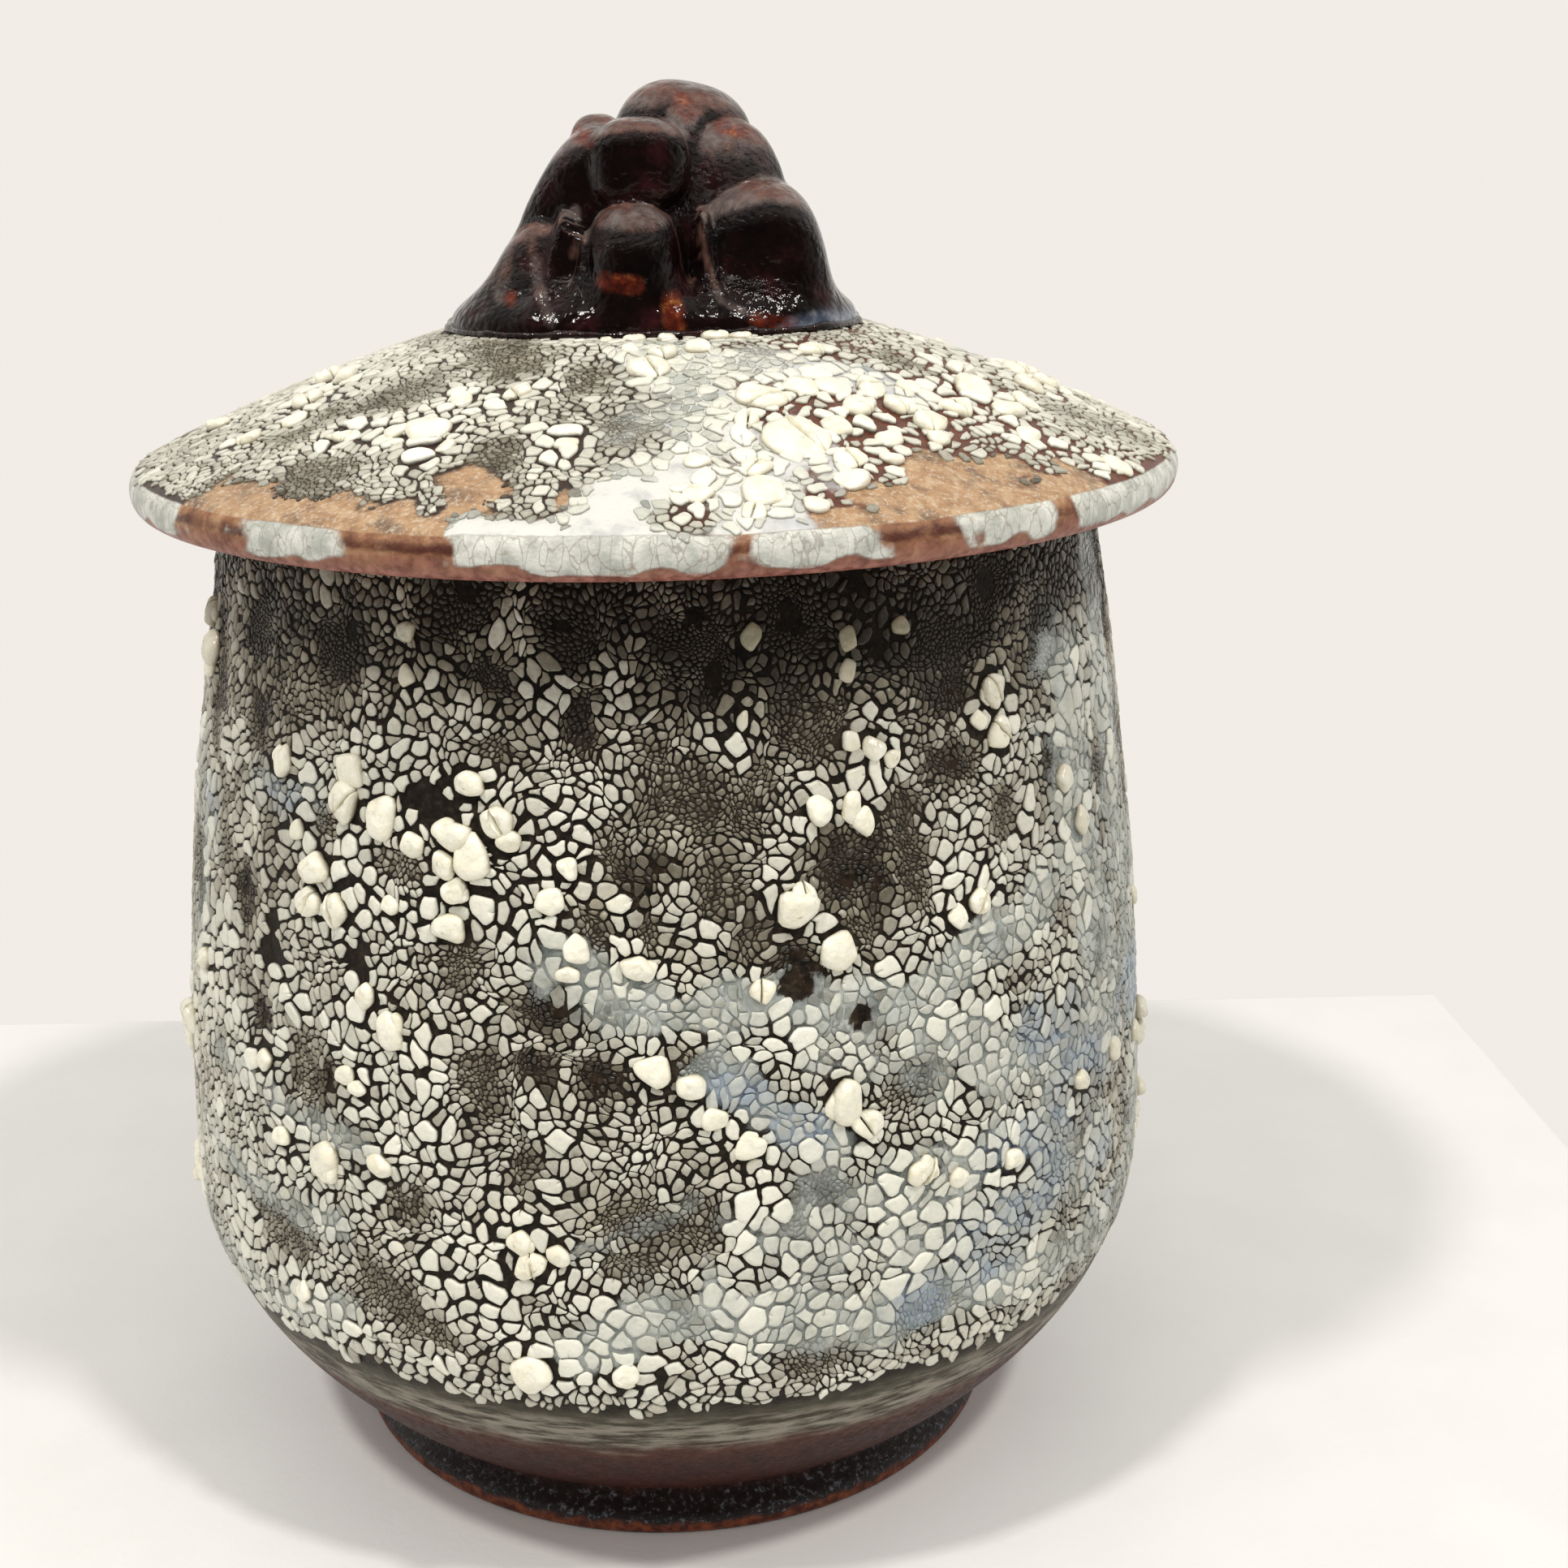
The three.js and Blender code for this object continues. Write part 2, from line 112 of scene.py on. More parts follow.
# Milky veils that ran over the crackle: points along each run (angle, height), width, strength
WALL_VEILS = [
    ([(66, 150), (68, 130), (66, 110), (70, 90), (74, 70), (72, 52)], 8, 0.95),
    ([(-11, 102.5), (-5, 98), (2, 97), (18, 97), (25, 93.5), (34, 99), (46, 104)], 4.5, 1.0),
    ([(54, 133), (55, 118), (54, 106), (57, 96), (60, 84)], 8, 0.95),
    ([(26, 92), (34, 86), (45, 80), (58, 76)], 9, 0.85),
    ([(4, 89), (8, 85), (13, 81), (16, 76)], 4, 0.9),
    ([(14, 92), (20, 88), (28, 84)], 6, 0.7),
    ([(14, 69), (24, 67), (36, 70), (48, 70)], 6, 0.75),
    ([(9, 64), (18, 60), (30, 58), (42, 58), (56, 62)], 7, 0.7),
    ([(-9, 49), (-2, 53), (6, 52), (16, 50), (33, 48), (50, 46), (66, 45)], 6, 0.9),
    ([(3, 62), (4, 57), (4, 52)], 2, 0.8),
    ([(-11, 62), (-4, 66), (2, 70)], 1.6, 0.6),
    ([(-52, 121), (-46, 120), (-42, 121)], 3.5, 0.6),
    ([(-62, 78), (-50, 76), (-40, 74), (-32, 73)], 2.6, 0.8),
    ([(-66, 63), (-54, 60), (-44, 59), (-38, 60)], 3, 0.8),
    ([(-68, 44), (-58, 41), (-46, 43), (-38, 46)], 4, 0.8),
    ([(-76, 118), (-66, 108), (-70, 92)], 6, 0.7),
    ([(76, 100), (92, 90), (110, 84), (128, 88)], 9, 0.9),
    ([(70, 60), (90, 54), (112, 56), (136, 50)], 7, 0.8),
    ([(150, 120), (162, 104), (158, 88)], 8, 0.8),
    ([(-168, 64), (-150, 58), (-128, 66), (-104, 60)], 7, 0.85),
    ([(-96, 112), (-112, 100), (-126, 98)], 6, 0.7),
]
# Cobalt tints in the veils: angle, height, radius
WALL_COBALT = [
    (51, 73, 6), (39, 68, 5), (46, 86, 5), (44, 62, 5), (6, 86, 3), (13, 79, 3.5), (36, 56, 6), (58, 56, 6),
    (-47, 120, 3), (26, 50, 4), (70, 78, 7), (104, 88, 8), (120, 54, 6), (-140, 62, 7), (156, 100, 6),
    (-64, 116, 4),
]

# The lid's beads, seen from above: angle from the front, distance from the axis, width, height over width
LID_BEADS = [
    (17.2, 60.5, 8.6, 0.5), (16.3, 49.4, 6.4, 0.5), (24.3, 47.2, 4.4, 0.6), (30.3, 53.6, 5, 0.6),
    (10.3, 71.2, 6.6, 0.5), (3.7, 71.4, 4.2, 0.6), (20.3, 70, 4.6, 0.5), (38.3, 59.6, 5.4, 0.7),
    (55.9, 54.1, 6, 0.8), (54.3, 60.1, 5, 0.7), (8.8, 75.2, 3.6, 0.6), (23.6, 58, 4, 0.6),
    (22.1, 65.7, 4.6, 0.6), (29.6, 62.1, 4, 0.7), (10.9, 66, 4.4, 0.6), (-1.8, 40, 5.8, 0.5),
    (-31.2, 57.5, 6.4, 0.5), (-61.6, 65, 4.2, 0.6), (-36.9, 58.1, 4, 0.6), (-24.1, 46.1, 4, 0.5),
    (-11.5, 59.4, 3, 0.6), (55.9, 76.4, 4.6, 0.5), (74.1, 57.7, 4.6, 0.9), (-69.8, 48.1, 4, 1.0),
    (-32.8, 49, 3.4, 0.6), (1.8, 35.4, 3.6, 0.7), (36.5, 36.5, 4, 0.6), (36.9, 54.8, 4.6, 0.7),
    (36.2, 63.5, 3.4, 0.7), (12, 55, 3.6, 0.6), (46, 57.5, 4.8, 0.8), (62, 60, 4.2, 0.8), (30, 47.5, 5, 0.6),
    (37, 49, 5, 0.6), (44, 50.5, 4, 0.7), (64, 49, 4.6, 0.9), (27, 66.5, 3.2, 0.6), (-66, 55, 4.4, 1.0),
    (-77, 50, 4, 1.1), (-60, 59, 3.6, 0.8), (-80, 66, 3.8, 0.9), (84, 60, 4, 0.9), (-44, 60.5, 3.6, 0.5),
    (-27, 61, 3, 0.5), (10, 33.5, 3.4, 0.9), (-6, 33.3, 2.6, 0.7), (50, 66, 3.6, 0.7), (4.5, 64.5, 3.2, 0.6),
    (15, 74.6, 3.4, 0.6), (19, 26, 4.2, 0.8), (4, 24.8, 2.6, 0.8), (-7, 24.9, 2.8, 0.8),
    (-16, 25.6, 2.2, 0.8), (27, 27, 2.8, 0.8), (-24, 26.4, 1.8, 0.8),
]
# Its fine crackle: angle, distance from the axis, radius
LID_THIN = [
    (-46, 50, 5), (-41, 69, 4.5), (-42, 34, 4), (-4, 56.7, 3.2), (67, 62, 6), (-20, 63, 4), (-29, 40, 4),
    (-56, 60, 4), (72, 70, 5), (24, 75, 4), (-10, 42, 3.5), (55, 44, 4),
]
# Its milky splashes: points along each run (angle, distance from the axis), width, strength
LID_SPLASH = [
    ([(4, 36), (6, 46), (6, 58), (0, 68), (-5, 75), (-9, 80)], 6.5, 1.0),
    ([(4, 54), (14, 62), (10, 76)], 9, 0.75),
    ([(12, 40), (22, 40), (34, 44), (44, 50)], 6, 0.7),
    ([(-2, 79.5), (-12, 79), (-17, 80)], 5, 1.0),
    ([(120, 34), (128, 50), (140, 66), (146, 80)], 8, 0.9),
    ([(-112, 60), (-120, 72), (-124, 82)], 7, 0.8),
]
# Bare ochre band near the rim: from angle, to angle, how far in from the edge it reaches; and its wider spots
LID_TAN = [(-54, -6, 5.2), (8, 50, 6), (96, 128, 6), (158, 205, 8), (-118, -86, 5)]
LID_TAN_SPOTS = [
    (-20, 70.5, 4.6), (-9.5, 72.5, 2.6), (-33, 74, 3.4), (14, 74, 3), (31, 69.5, 4.4), (39, 71.5, 4),
    (175, 68, 6), (112, 70, 5),
]
# Stretches of the rim's edge where pale glaze hangs over it: from angle, to angle
LID_DRIPS = [
    (-100, -52), (-43, -31), (-20, 5), (10, 21), (29, 41), (44, 84), (100, 112), (126, 160), (176, 200),
    (216, 236),
]


def smooth(value):
    """Eases a share from 0 to 1."""
    value = np.clip(value, 0, 1)
    return value * value * (3 - 2 * value)


def curved(points, steps):
    """Places along a smooth curve from the first point to the last, pulled by the others."""
    points = np.array(points, float)
    share = np.linspace(0, 1, steps + 1)[:, None]
    last = len(points) - 1
    return sum(math.comb(last, i) * (1 - share) ** (last - i) * share**i * points[i] for i in range(last + 1))


def full_turn(count):
    """Evenly spaced angles round a full turn."""
    return np.arange(count) * 2 * math.pi / count


def along(x, y, points, across=np.subtract):
    """Distance from places to a run of straight lines through the points."""
    best = np.hypot(across(x, points[0][0]), y - points[0][1])
    for (ax, ay), (bx, by) in zip(points, points[1:]):
        px, py, dx, dy = across(x, ax), y - ay, bx - ax, by - ay
        share = np.clip((px * dx + py * dy) / (dx * dx + dy * dy), 0, 1)
        best = np.minimum(best, np.hypot(px - share * dx, py - share * dy))
    return best


class Profile:
    """A turned outline that gives the place at any distance along it."""

    def __init__(self, points, side=1):
        self.r, self.z = points.T
        self.s = np.concatenate([[0], np.cumsum(np.hypot(np.diff(self.r), np.diff(self.z)))])
        along_r, along_z = np.gradient(self.r, self.s), np.gradient(self.z, self.s)
        size = np.hypot(along_r, along_z) * side
        self.out_r, self.out_z = along_z / size, -along_r / size

    def place(self, s, out):
        """Radius and height at a distance along the outline and a distance out from it."""
        fields = self.r, self.z, self.out_r, self.out_z
        r, z, out_r, out_z = (np.interp(s, self.s, field) for field in fields)
        return r + out_r * out, z + out_z * out

    def at_height(self, z):
        """Distance along the outline at a height."""
        return np.interp(z, self.z, self.s)


WALL = Profile(np.vstack([
    curved([(57.5, 11), (66, 18.5), (78.7, 33), (78.7, 47)], 120),
    curved([(78.7, 47), (78.7, 85), (72.8, 122), (67.3, RIM_HEIGHT)], 300)[1:],
]))
LID_LAND = 31.6  # radius of the flat under the knob
LID_TOP = 24.4
DOME_START, DOME_END, DOME_SWELL = np.array([LID_LAND, LID_TOP]), np.array([76.8, 7.4]), np.array([0, 1.1])
LID_LINE = np.vstack([
    np.column_stack([np.linspace(0, 31, 32), np.full(32, LID_TOP)]),
    curved([
        DOME_START,
        DOME_START * 2 / 3 + DOME_END / 3 + DOME_SWELL,
        DOME_START / 3 + DOME_END * 2 / 3 + DOME_SWELL,
        DOME_END,
    ], 120),
    curved([DOME_END, (80, 6.51), (80, 3.85)], 16)[1:],
    curved([(80, 3.85), (80, 0.3), (DOME_END[0], 0.3)], 16)[1:],
])
LID = Profile(LID_LINE, side=-1)
DOME_ROWS = slice(32, 153)  # the part of the lid's outline that is the dome
LID_RIM = float(LID.s[152])  # where the dome meets the rounded edge
EDGE_LINE = LID_RIM + 2.6  # where the glaze of the dome ends on the edge


def turned(turn, r, z):
    """Points at angles from the front round the jar's axis."""
    return np.stack([r * np.sin(turn), -r * np.cos(turn), z], -1)


def ring_points(outline, around):
    """Rings of a plain turned outline of radii and heights."""
    radii, heights = np.array(outline, float).T[..., None]
    turn = full_turn(around)
    return turned(turn, radii, heights + 0 * turn)


def warped(points):
    """Wall points that follow the rim's slope, which fades out below it."""
    share = smooth((points[..., 2:] - RIM_HEIGHT + WARP_HEIGHT) / WARP_HEIGHT)
    return points + share * RIM_SLOPE * points[..., :1] * (0, 0, 1)


def tilted(points):
    """Lid points in the jar's frame: the lid lies along the sloping rim."""
    lean = math.atan(RIM_SLOPE)
    x, y, z = np.moveaxis(points, -1, 0)
    up = x * math.sin(lean) + z * math.cos(lean) + RIM_HEIGHT
    return np.stack([x * math.cos(lean) - z * math.sin(lean), y, up], -1)


def on_wall(x, s, out):
    """Points for places on the unrolled wall, out from its surface."""
    return warped(turned(x / UNROLL_RADIUS, *WALL.place(s, out)))


def on_lid(x, y, out):
    """Points for places on the lid as laid out flat round its middle, out from its surface."""
    return tilted(turned(np.arctan2(x, -y), *LID.place(np.hypot(x, y), out)))


class Chart:
    """Fields over a surface laid out flat, with one value for each step of CHART_GRID."""

    def __init__(self, x0, x1, y0, y1, wraps):
        self.x0, self.y0, self.wide, self.high, self.wraps = x0, y0, x1 - x0, y1 - y0, wraps
        self.nx, self.ny = round(self.wide / CHART_GRID), round(self.high / CHART_GRID)
        self.x, self.y = np.meshgrid(
            x0 + (np.arange(self.nx) + 0.5) * self.wide / self.nx,
            y0 + (np.arange(self.ny) + 0.5) * self.high / self.ny,
        )

    def across(self, x, start):
        """Distance of x from start, the short way round."""
        gap = x - start
        return (gap + self.wide / 2) % self.wide - self.wide / 2 if self.wraps else gap

    def noise(self, rng, size):
        """Smooth random field, 0 to 1, with marks about as wide as size."""
        nx, ny = max(3, round(self.wide / size)), max(3, round(self.high / size))
        knots = rng.random((ny + 2, nx + 2))
        u, v = (self.x - self.x0) / self.wide * nx, (self.y - self.y0) / self.high * ny
        i, j = u.astype(int), v.astype(int)
        fu, fv = smooth(u - i), smooth(v - j)
        right = (i + 1) % nx if self.wraps else i + 1
        low = knots[j, i] * (1 - fu) + knots[j, right] * fu
        high = knots[j + 1, i] * (1 - fu) + knots[j + 1, right] * fu
        return low * (1 - fv) + high * fv

    def nearness(self, spots):
        """Distance to the nearest spot (x, y, half width, half height), in its own half sizes."""
        best = np.full(self.x.shape, 99.0)
        for x, y, half_x, half_y in spots:
            best = np.minimum(best, np.hypot(self.across(self.x, x) / half_x, (self.y - y) / half_y))
        return best

    def runs(self, runs, wander):
        """Strength of the runs of glaze over each place; wander moves their edges."""
        total = np.zeros(self.x.shape)
        for points, width, strength in runs:
            far = along(self.x, self.y, points, self.across) / width + wander
            total = np.maximum(total, strength * smooth(1.35 - far))
        return total

    def at(self, field, places):
        """The field's values at places (x, y), blended between its steps."""
        u = (places[..., 0] - self.x0) / self.wide * self.nx - 0.5
        v = np.clip((places[..., 1] - self.y0) / self.high * self.ny - 0.5, 0, self.ny - 1.001)
        i, j = np.floor(u).astype(int), v.astype(int)
        fu, fv = u - i, v - j
        if self.wraps:
            left, right = i % self.nx, (i + 1) % self.nx
        else:
            left, right = np.clip(i, 0, self.nx - 1), np.clip(i + 1, 0, self.nx - 1)
        low = field[j, left] * (1 - fu) + field[j, right] * fu
        return low * (1 - fv) + (field[j + 1, left] * (1 - fu) + field[j + 1, right] * fu) * fv


def strewn(chart, apart, free, rng):
    """Places strewn where a chart is free, until it is full: x, y and how far each keeps others off."""
    columns, rows, border = round(chart.wide / STREW_GRID), round(chart.high / STREW_GRID), 48
    step = np.array([chart.wide / columns, chart.high / rows])
    x, y = np.meshgrid(
        chart.x0 + (np.arange(columns) + 0.5) * step[0], chart.y0 + (np.arange(rows) + 0.5) * step[1]
    )
    grid = np.stack([x, y], -1)
    taken = np.pad(chart.at(free.astype(float), grid) < 0.5, border, constant_values=True)
    reach = chart.at(apart, grid) * rng.uniform(0.72, 1.38, x.shape)
    squares = np.arange(-border, border + 1) ** 2
    spread = squares[:, None] + squares
    marked = taken.ravel()
    found = []
    for some in np.array_split(rng.permutation(rows * columns), 60):
        j, i = np.divmod(some, columns)
        untaken = ~marked[(j + border) * (columns + 2 * border) + i + border]
        for j, i in zip(j[untaken].tolist(), i[untaken].tolist()):
            if taken[j + border, i + border]:
                continue
            far = float(reach[j, i]) / STREW_GRID
            n = min(int(far), border - 1)
            disc = spread[border - n : border + n + 1, border - n : border + n + 1] < far * far
            top = j + border - n
            for left in (i - n, i - n - columns, i - n + columns) if chart.wraps else (i - n,):
                if -border <= left <= columns + border - 2 * n - 1:
                    taken[top : top + 2 * n + 1, left + border : left + border + 2 * n + 1] |= disc
            found.append((j, i))
    j, i = np.array(found).T
    jitter = rng.uniform(-0.4, 0.4, (2, len(found))).T
    return np.column_stack([grid[j, i] + jitter * step, reach[j, i]])


def nearest(places, sought, count):
    """The rows of the nearest places to each sought one, nearest first."""
    tree = KDTree(len(places))
    for k, (x, y) in enumerate(places[:, :2].tolist()):
        tree.insert((x, y, 0), k)
    tree.balance()
    return np.array([[k for _, k, _ in tree.find_n((x, y, 0), count)] for x, y in sought[:, :2].tolist()])


def clear_of(beads, chart, margin):
    """Where a chart is at least margin away from every bead."""
    clear = np.ones(chart.x.shape, bool)
    for x, y, half, tall in beads:
        clear &= np.hypot(chart.across(chart.x, x), (chart.y - y) / tall) > half + margin
    return clear


CORNERS = 26  # how sharp the corners of an island are
NEIGHBOURS = 16
SEAM = 9  # how far past a wrapping chart's ends its islands are seen


class Islands:
    """The islands that the glaze drew back to: their middles, neighbours and the cracks between them."""

    def __init__(self, fields, pitch, rng):
        chart = fields.chart
        self.places = places = strewn(chart, 0.78 * fields.size, clear_of(fields.beads, chart, 0.35), rng)
        seam = SEAM if chart.wraps else -1
        east, west = places[:, 0] < chart.x0 + seam, places[:, 0] > chart.x0 + chart.wide - seam
        once = (chart.wide, 0, 0)
        around = np.concatenate([places, places[east] + once, places[west] - once])
        owner = np.concatenate([np.arange(len(places)), np.flatnonzero(east), np.flatnonzero(west)])
        near = nearest(around, places, NEIGHBOURS + 1)[:, 1:]
        # Cracks are wide between groups of islands and narrow inside a group
        wander = [chart.at(3.4 * (chart.noise(rng, 5) - 0.5), places) for _ in range(2)]
        moved = places[:, :2] + np.stack(wander, -1)
        apart = np.zeros(near.shape, int)
        for spacing in (0.8 * pitch, 0.42 * pitch):
            heads = strewn(chart, np.full(chart.x.shape, spacing), np.ones(chart.x.shape), rng)
            group = nearest(heads, moved, 1)[:, 0]
            apart += group[:, None] != group[owner[near]]
        gap = around[near, :2] - places[:, None, :2]
        far = np.linalg.norm(gap, axis=-1)
        push, theirs = places[:, 2:3], around[near, 2]
        crack = fields.at("crack", places)
        mood = rng.random(len(places))
        width = (0.125 + 0.06 * np.minimum(push, theirs)) * np.array([1, 1.5, 2.5])[apart]
        width = width * (crack[:, None] + crack[owner[near]]) / 2
        width *= 0.7 + 0.6 * ((mood[:, None] + mood[owner[near]]) * 5 % 1)
        limits = far * push / (push + theirs) - width / 2
        # No island reaches into a bead
        beads = np.array(fields.beads)
        close = beads[nearest(beads, places, 4)]
        squash = np.stack([np.ones(close.shape[:2]), close[..., 3]], -1)
        aside = (places[:, None, :2] - close[..., :2]) / squash
        off = np.linalg.norm(aside, axis=-1)
        self.ways = np.concatenate([gap / far[..., None], -aside / off[..., None] / squash], 1)
        self.limits = np.maximum(np.concatenate([limits, off - close[..., 2] - 0.2], 1), 0.08)
        self.turns = rng.uniform(0, 2 * math.pi, len(places))

    def reach(self, pick, angles):
        """How far the picked islands reach at each of their angles."""
        ways = self.ways[pick, ..., None]
        pull = ways[:, :, 0] * np.cos(angles)[:, None] + ways[:, :, 1] * np.sin(angles)[:, None]
        pull = np.clip(pull, 0, None) / self.limits[pick][..., None]
        loose = 1 / (1.7 * self.places[pick, 2:3])
        return ((pull**CORNERS).sum(1) + loose**CORNERS) ** (-1 / CORNERS)


class Heap:
    """Many small closed domes gathered into one mesh, with what its material reads at each point."""

    def __init__(self):
        self.points, self.faces, self.marks, self.flat, self.bottoms, self.count = [], [], [], [], [], 0

    def add(self, places, flat, marks):
        """places: points (domes, rings, around, 3); flat: the same on the chart (.., 2); marks: (.., 4)."""
        domes, rings, around, _ = places.shape
        index = self.count + np.arange(domes * rings * around).reshape(domes, rings, around)
        ahead = np.roll(index, -1, 2)
        corners = np.stack([index[:, :-1], ahead[:, :-1], ahead[:, 1:], index[:, 1:]], -1)
        self.faces.append(corners.reshape(-1, 4))
        self.faces.append(index[:, -1].reshape(-1, around))
        self.bottoms.append(index[:, 0, ::-1].reshape(-1, around))
        self.points.append(places.reshape(-1, 3))
        self.flat.append(flat.reshape(-1, 2))
        self.marks.append(marks.reshape(-1, 4))
        self.count += domes * rings * around

    def settle(self, name, body, look):
        """Adds the heap as one piece."""
        points, flat, marks = (np.concatenate(rows) for rows in (self.points, self.flat, self.marks))
        new_piece(name, points, self.faces, body, [look], marks, flat, self.bottoms)


def add_marks(mesh, name, marks):
    """Four values at each point of a mesh, for its material to read."""
    mesh.attributes.new(name, "FLOAT_COLOR", "POINT").data.foreach_set("color", np.float32(marks).ravel())


def add_flat_map(mesh, flat, corners, under):
    """The map that a finish is drawn on: tops at their places on the chart, undersides in a thin strip."""
    strip, squeeze = 0.02, 0.015
    low, high = flat.min(0), flat.max(0)
    drawn = ((flat - low) / (high - low))[corners]
    drawn[:, 1] = strip + (1 - strip) * drawn[:, 1]
    drawn[-under:, 1] = (drawn[-under:, 1] - strip) * squeeze
    mesh.uv_layers.new(name="OFBake").data.foreach_set("uv", drawn.astype(np.float32).ravel())


def new_piece(name, points, faces, body, looks, marks=None, flat=None, bottoms=(), look_rows=None):
    """A mesh piece in metres that rides on its body."""
    mesh = bpy.data.meshes.new(name)
    faces = [*faces, *bottoms]
    corners = np.concatenate([f.ravel() for f in faces]).astype(np.int32)
    sides = np.concatenate([np.full(len(f), f.shape[1]) for f in faces])
    mesh.vertices.add(len(points))
    mesh.vertices.foreach_set("co", (points * METRE).ravel())
    mesh.loops.add(len(corners))
    mesh.polygons.add(len(sides))
    mesh.polygons.foreach_set("loop_start", np.concatenate([[0], np.cumsum(sides)[:-1]]).astype(np.int32))
    mesh.polygons.foreach_set("vertices", corners)
    if look_rows is not None:
        mesh.polygons.foreach_set("material_index", np.asarray(look_rows, np.int32))
    mesh.update(calc_edges=True)
    if marks is not None:
        add_marks(mesh, "glaze_marks", marks)
    if flat is not None:
        add_flat_map(mesh, flat, corners, sum(f.size for f in bottoms))
    mesh.shade_smooth()
    for look in looks:
        mesh.materials.append(look)
    piece = bpy.data.objects.new(name, mesh)
    bpy.context.scene.collection.objects.link(piece)
    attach(piece, body)
    return piece


def skinned(grid, joined=False):
    """Points and faces over rings of points, with its two ends closed by fans, or joined to each other."""
    rows, around, _ = grid.shape
    index = np.arange(rows * around).reshape(rows, around)
    if joined:
        index = np.vstack([index, index[:1]])
    ahead = np.roll(index, -1, 1)
    points = grid.reshape(-1, 3)
    faces = [np.stack([index[:-1], ahead[:-1], ahead[1:], index[1:]], -1).reshape(-1, 4)]
    if not joined:
        first, last = len(points), len(points) + 1
        points = np.vstack([points, grid[0].mean(0), grid[-1].mean(0)])
        faces.append(np.stack([ahead[0], index[0], np.full(around, first)], -1))
        faces.append(np.stack([index[-1], ahead[-1], np.full(around, last)], -1))
    return points, faces


def ring_marks(grid):
    """Marks for rings of points and for the middles of the two fans that close them."""
    return np.vstack([grid.reshape(-1, 4), np.zeros((2, 4))])


def scattered(rng, count, low, high, apart, taken=()):
    """Up to count places in a box on a chart, each at least apart from the others and from those taken."""
    found = []
    for _ in range(count * 12):
        x, y = rng.uniform(low[0], high[0]), rng.uniform(low[1], high[1])
        if all(math.hypot(x - p[0], y - p[1]) > apart for p in (*found, *taken)):
            found.append((x, y))
        if len(found) == count:
            break
    return found


def twins(beads, rng):
    """Smaller beads fused to the sides of some of the larger ones."""
    found = []
    for x, y, half, tall in beads:
        if half > 1.7 and rng.random() < 0.4:
            turn, off = rng.uniform(0, 2 * math.pi), 0.66 * half
            place = x + off * math.cos(turn), y + off * math.sin(turn)
            found.append((*place, half * rng.uniform(0.6, 0.8), tall))
    return found


def uncrowded(beads, apart):
    """The beads that keep off every earlier one by this share of their half widths."""
    kept = []
    for x, y, half, tall in beads:
        if all(math.hypot(x - b[0], y - b[1]) > apart * (half + b[2]) for b in kept):
            kept.append((x, y, half, tall))
    return kept


def spots_on(place, rows):
    """Rows with their first two values turned to a place on a chart."""
    return [(*place(*row[:2]), *row[2:]) for row in rows]


def runs_on(place, runs):
    """Runs of glaze with their points turned to places on a chart."""
    return [([place(*point) for point in points], width, strength) for points, width, strength in runs]


def on_chart(angle, height):
    """A place on the unrolled wall, from its angle in degrees and its height."""
    return math.radians(angle) * UNROLL_RADIUS, float(WALL.at_height(height))


def over_lid(angle, far):
    """A place on the lid laid out flat, from its angle in degrees and its distance from the axis."""
    turn = math.radians(angle)
    if far < LID_LAND:
        edge = far
    elif far < DOME_END[0]:
        edge = float(np.interp(far, LID.r[DOME_ROWS], LID.s[DOME_ROWS]))
    else:
        edge = LID_RIM + far - DOME_END[0]
    return edge * math.sin(turn), -edge * math.cos(turn)


class Fields:
    """What the glaze does at each place of a surface that is laid out flat."""

    def at(self, name, places):
        """The named field's values at places."""
        return self.chart.at(getattr(self, name), places)

    def undercoat_marks(self, places, *names):
        """What the undercoat's material reads: how far the thin glaze is, and three more fields."""
        far = np.clip(self.at("far", places) / 3, 0, 1)
        return np.stack([far, *(self.at(name, places) for name in names)], -1)

    def bends(self, rng):
        """Two fields that bend the cracks a little."""
        sizes = (1.3, 0.75), (2.4, 1.1), (6, 2.2)
        return [sum(reach * (self.chart.noise(rng, size) - 0.5) for size, reach in sizes) for _ in range(2)]


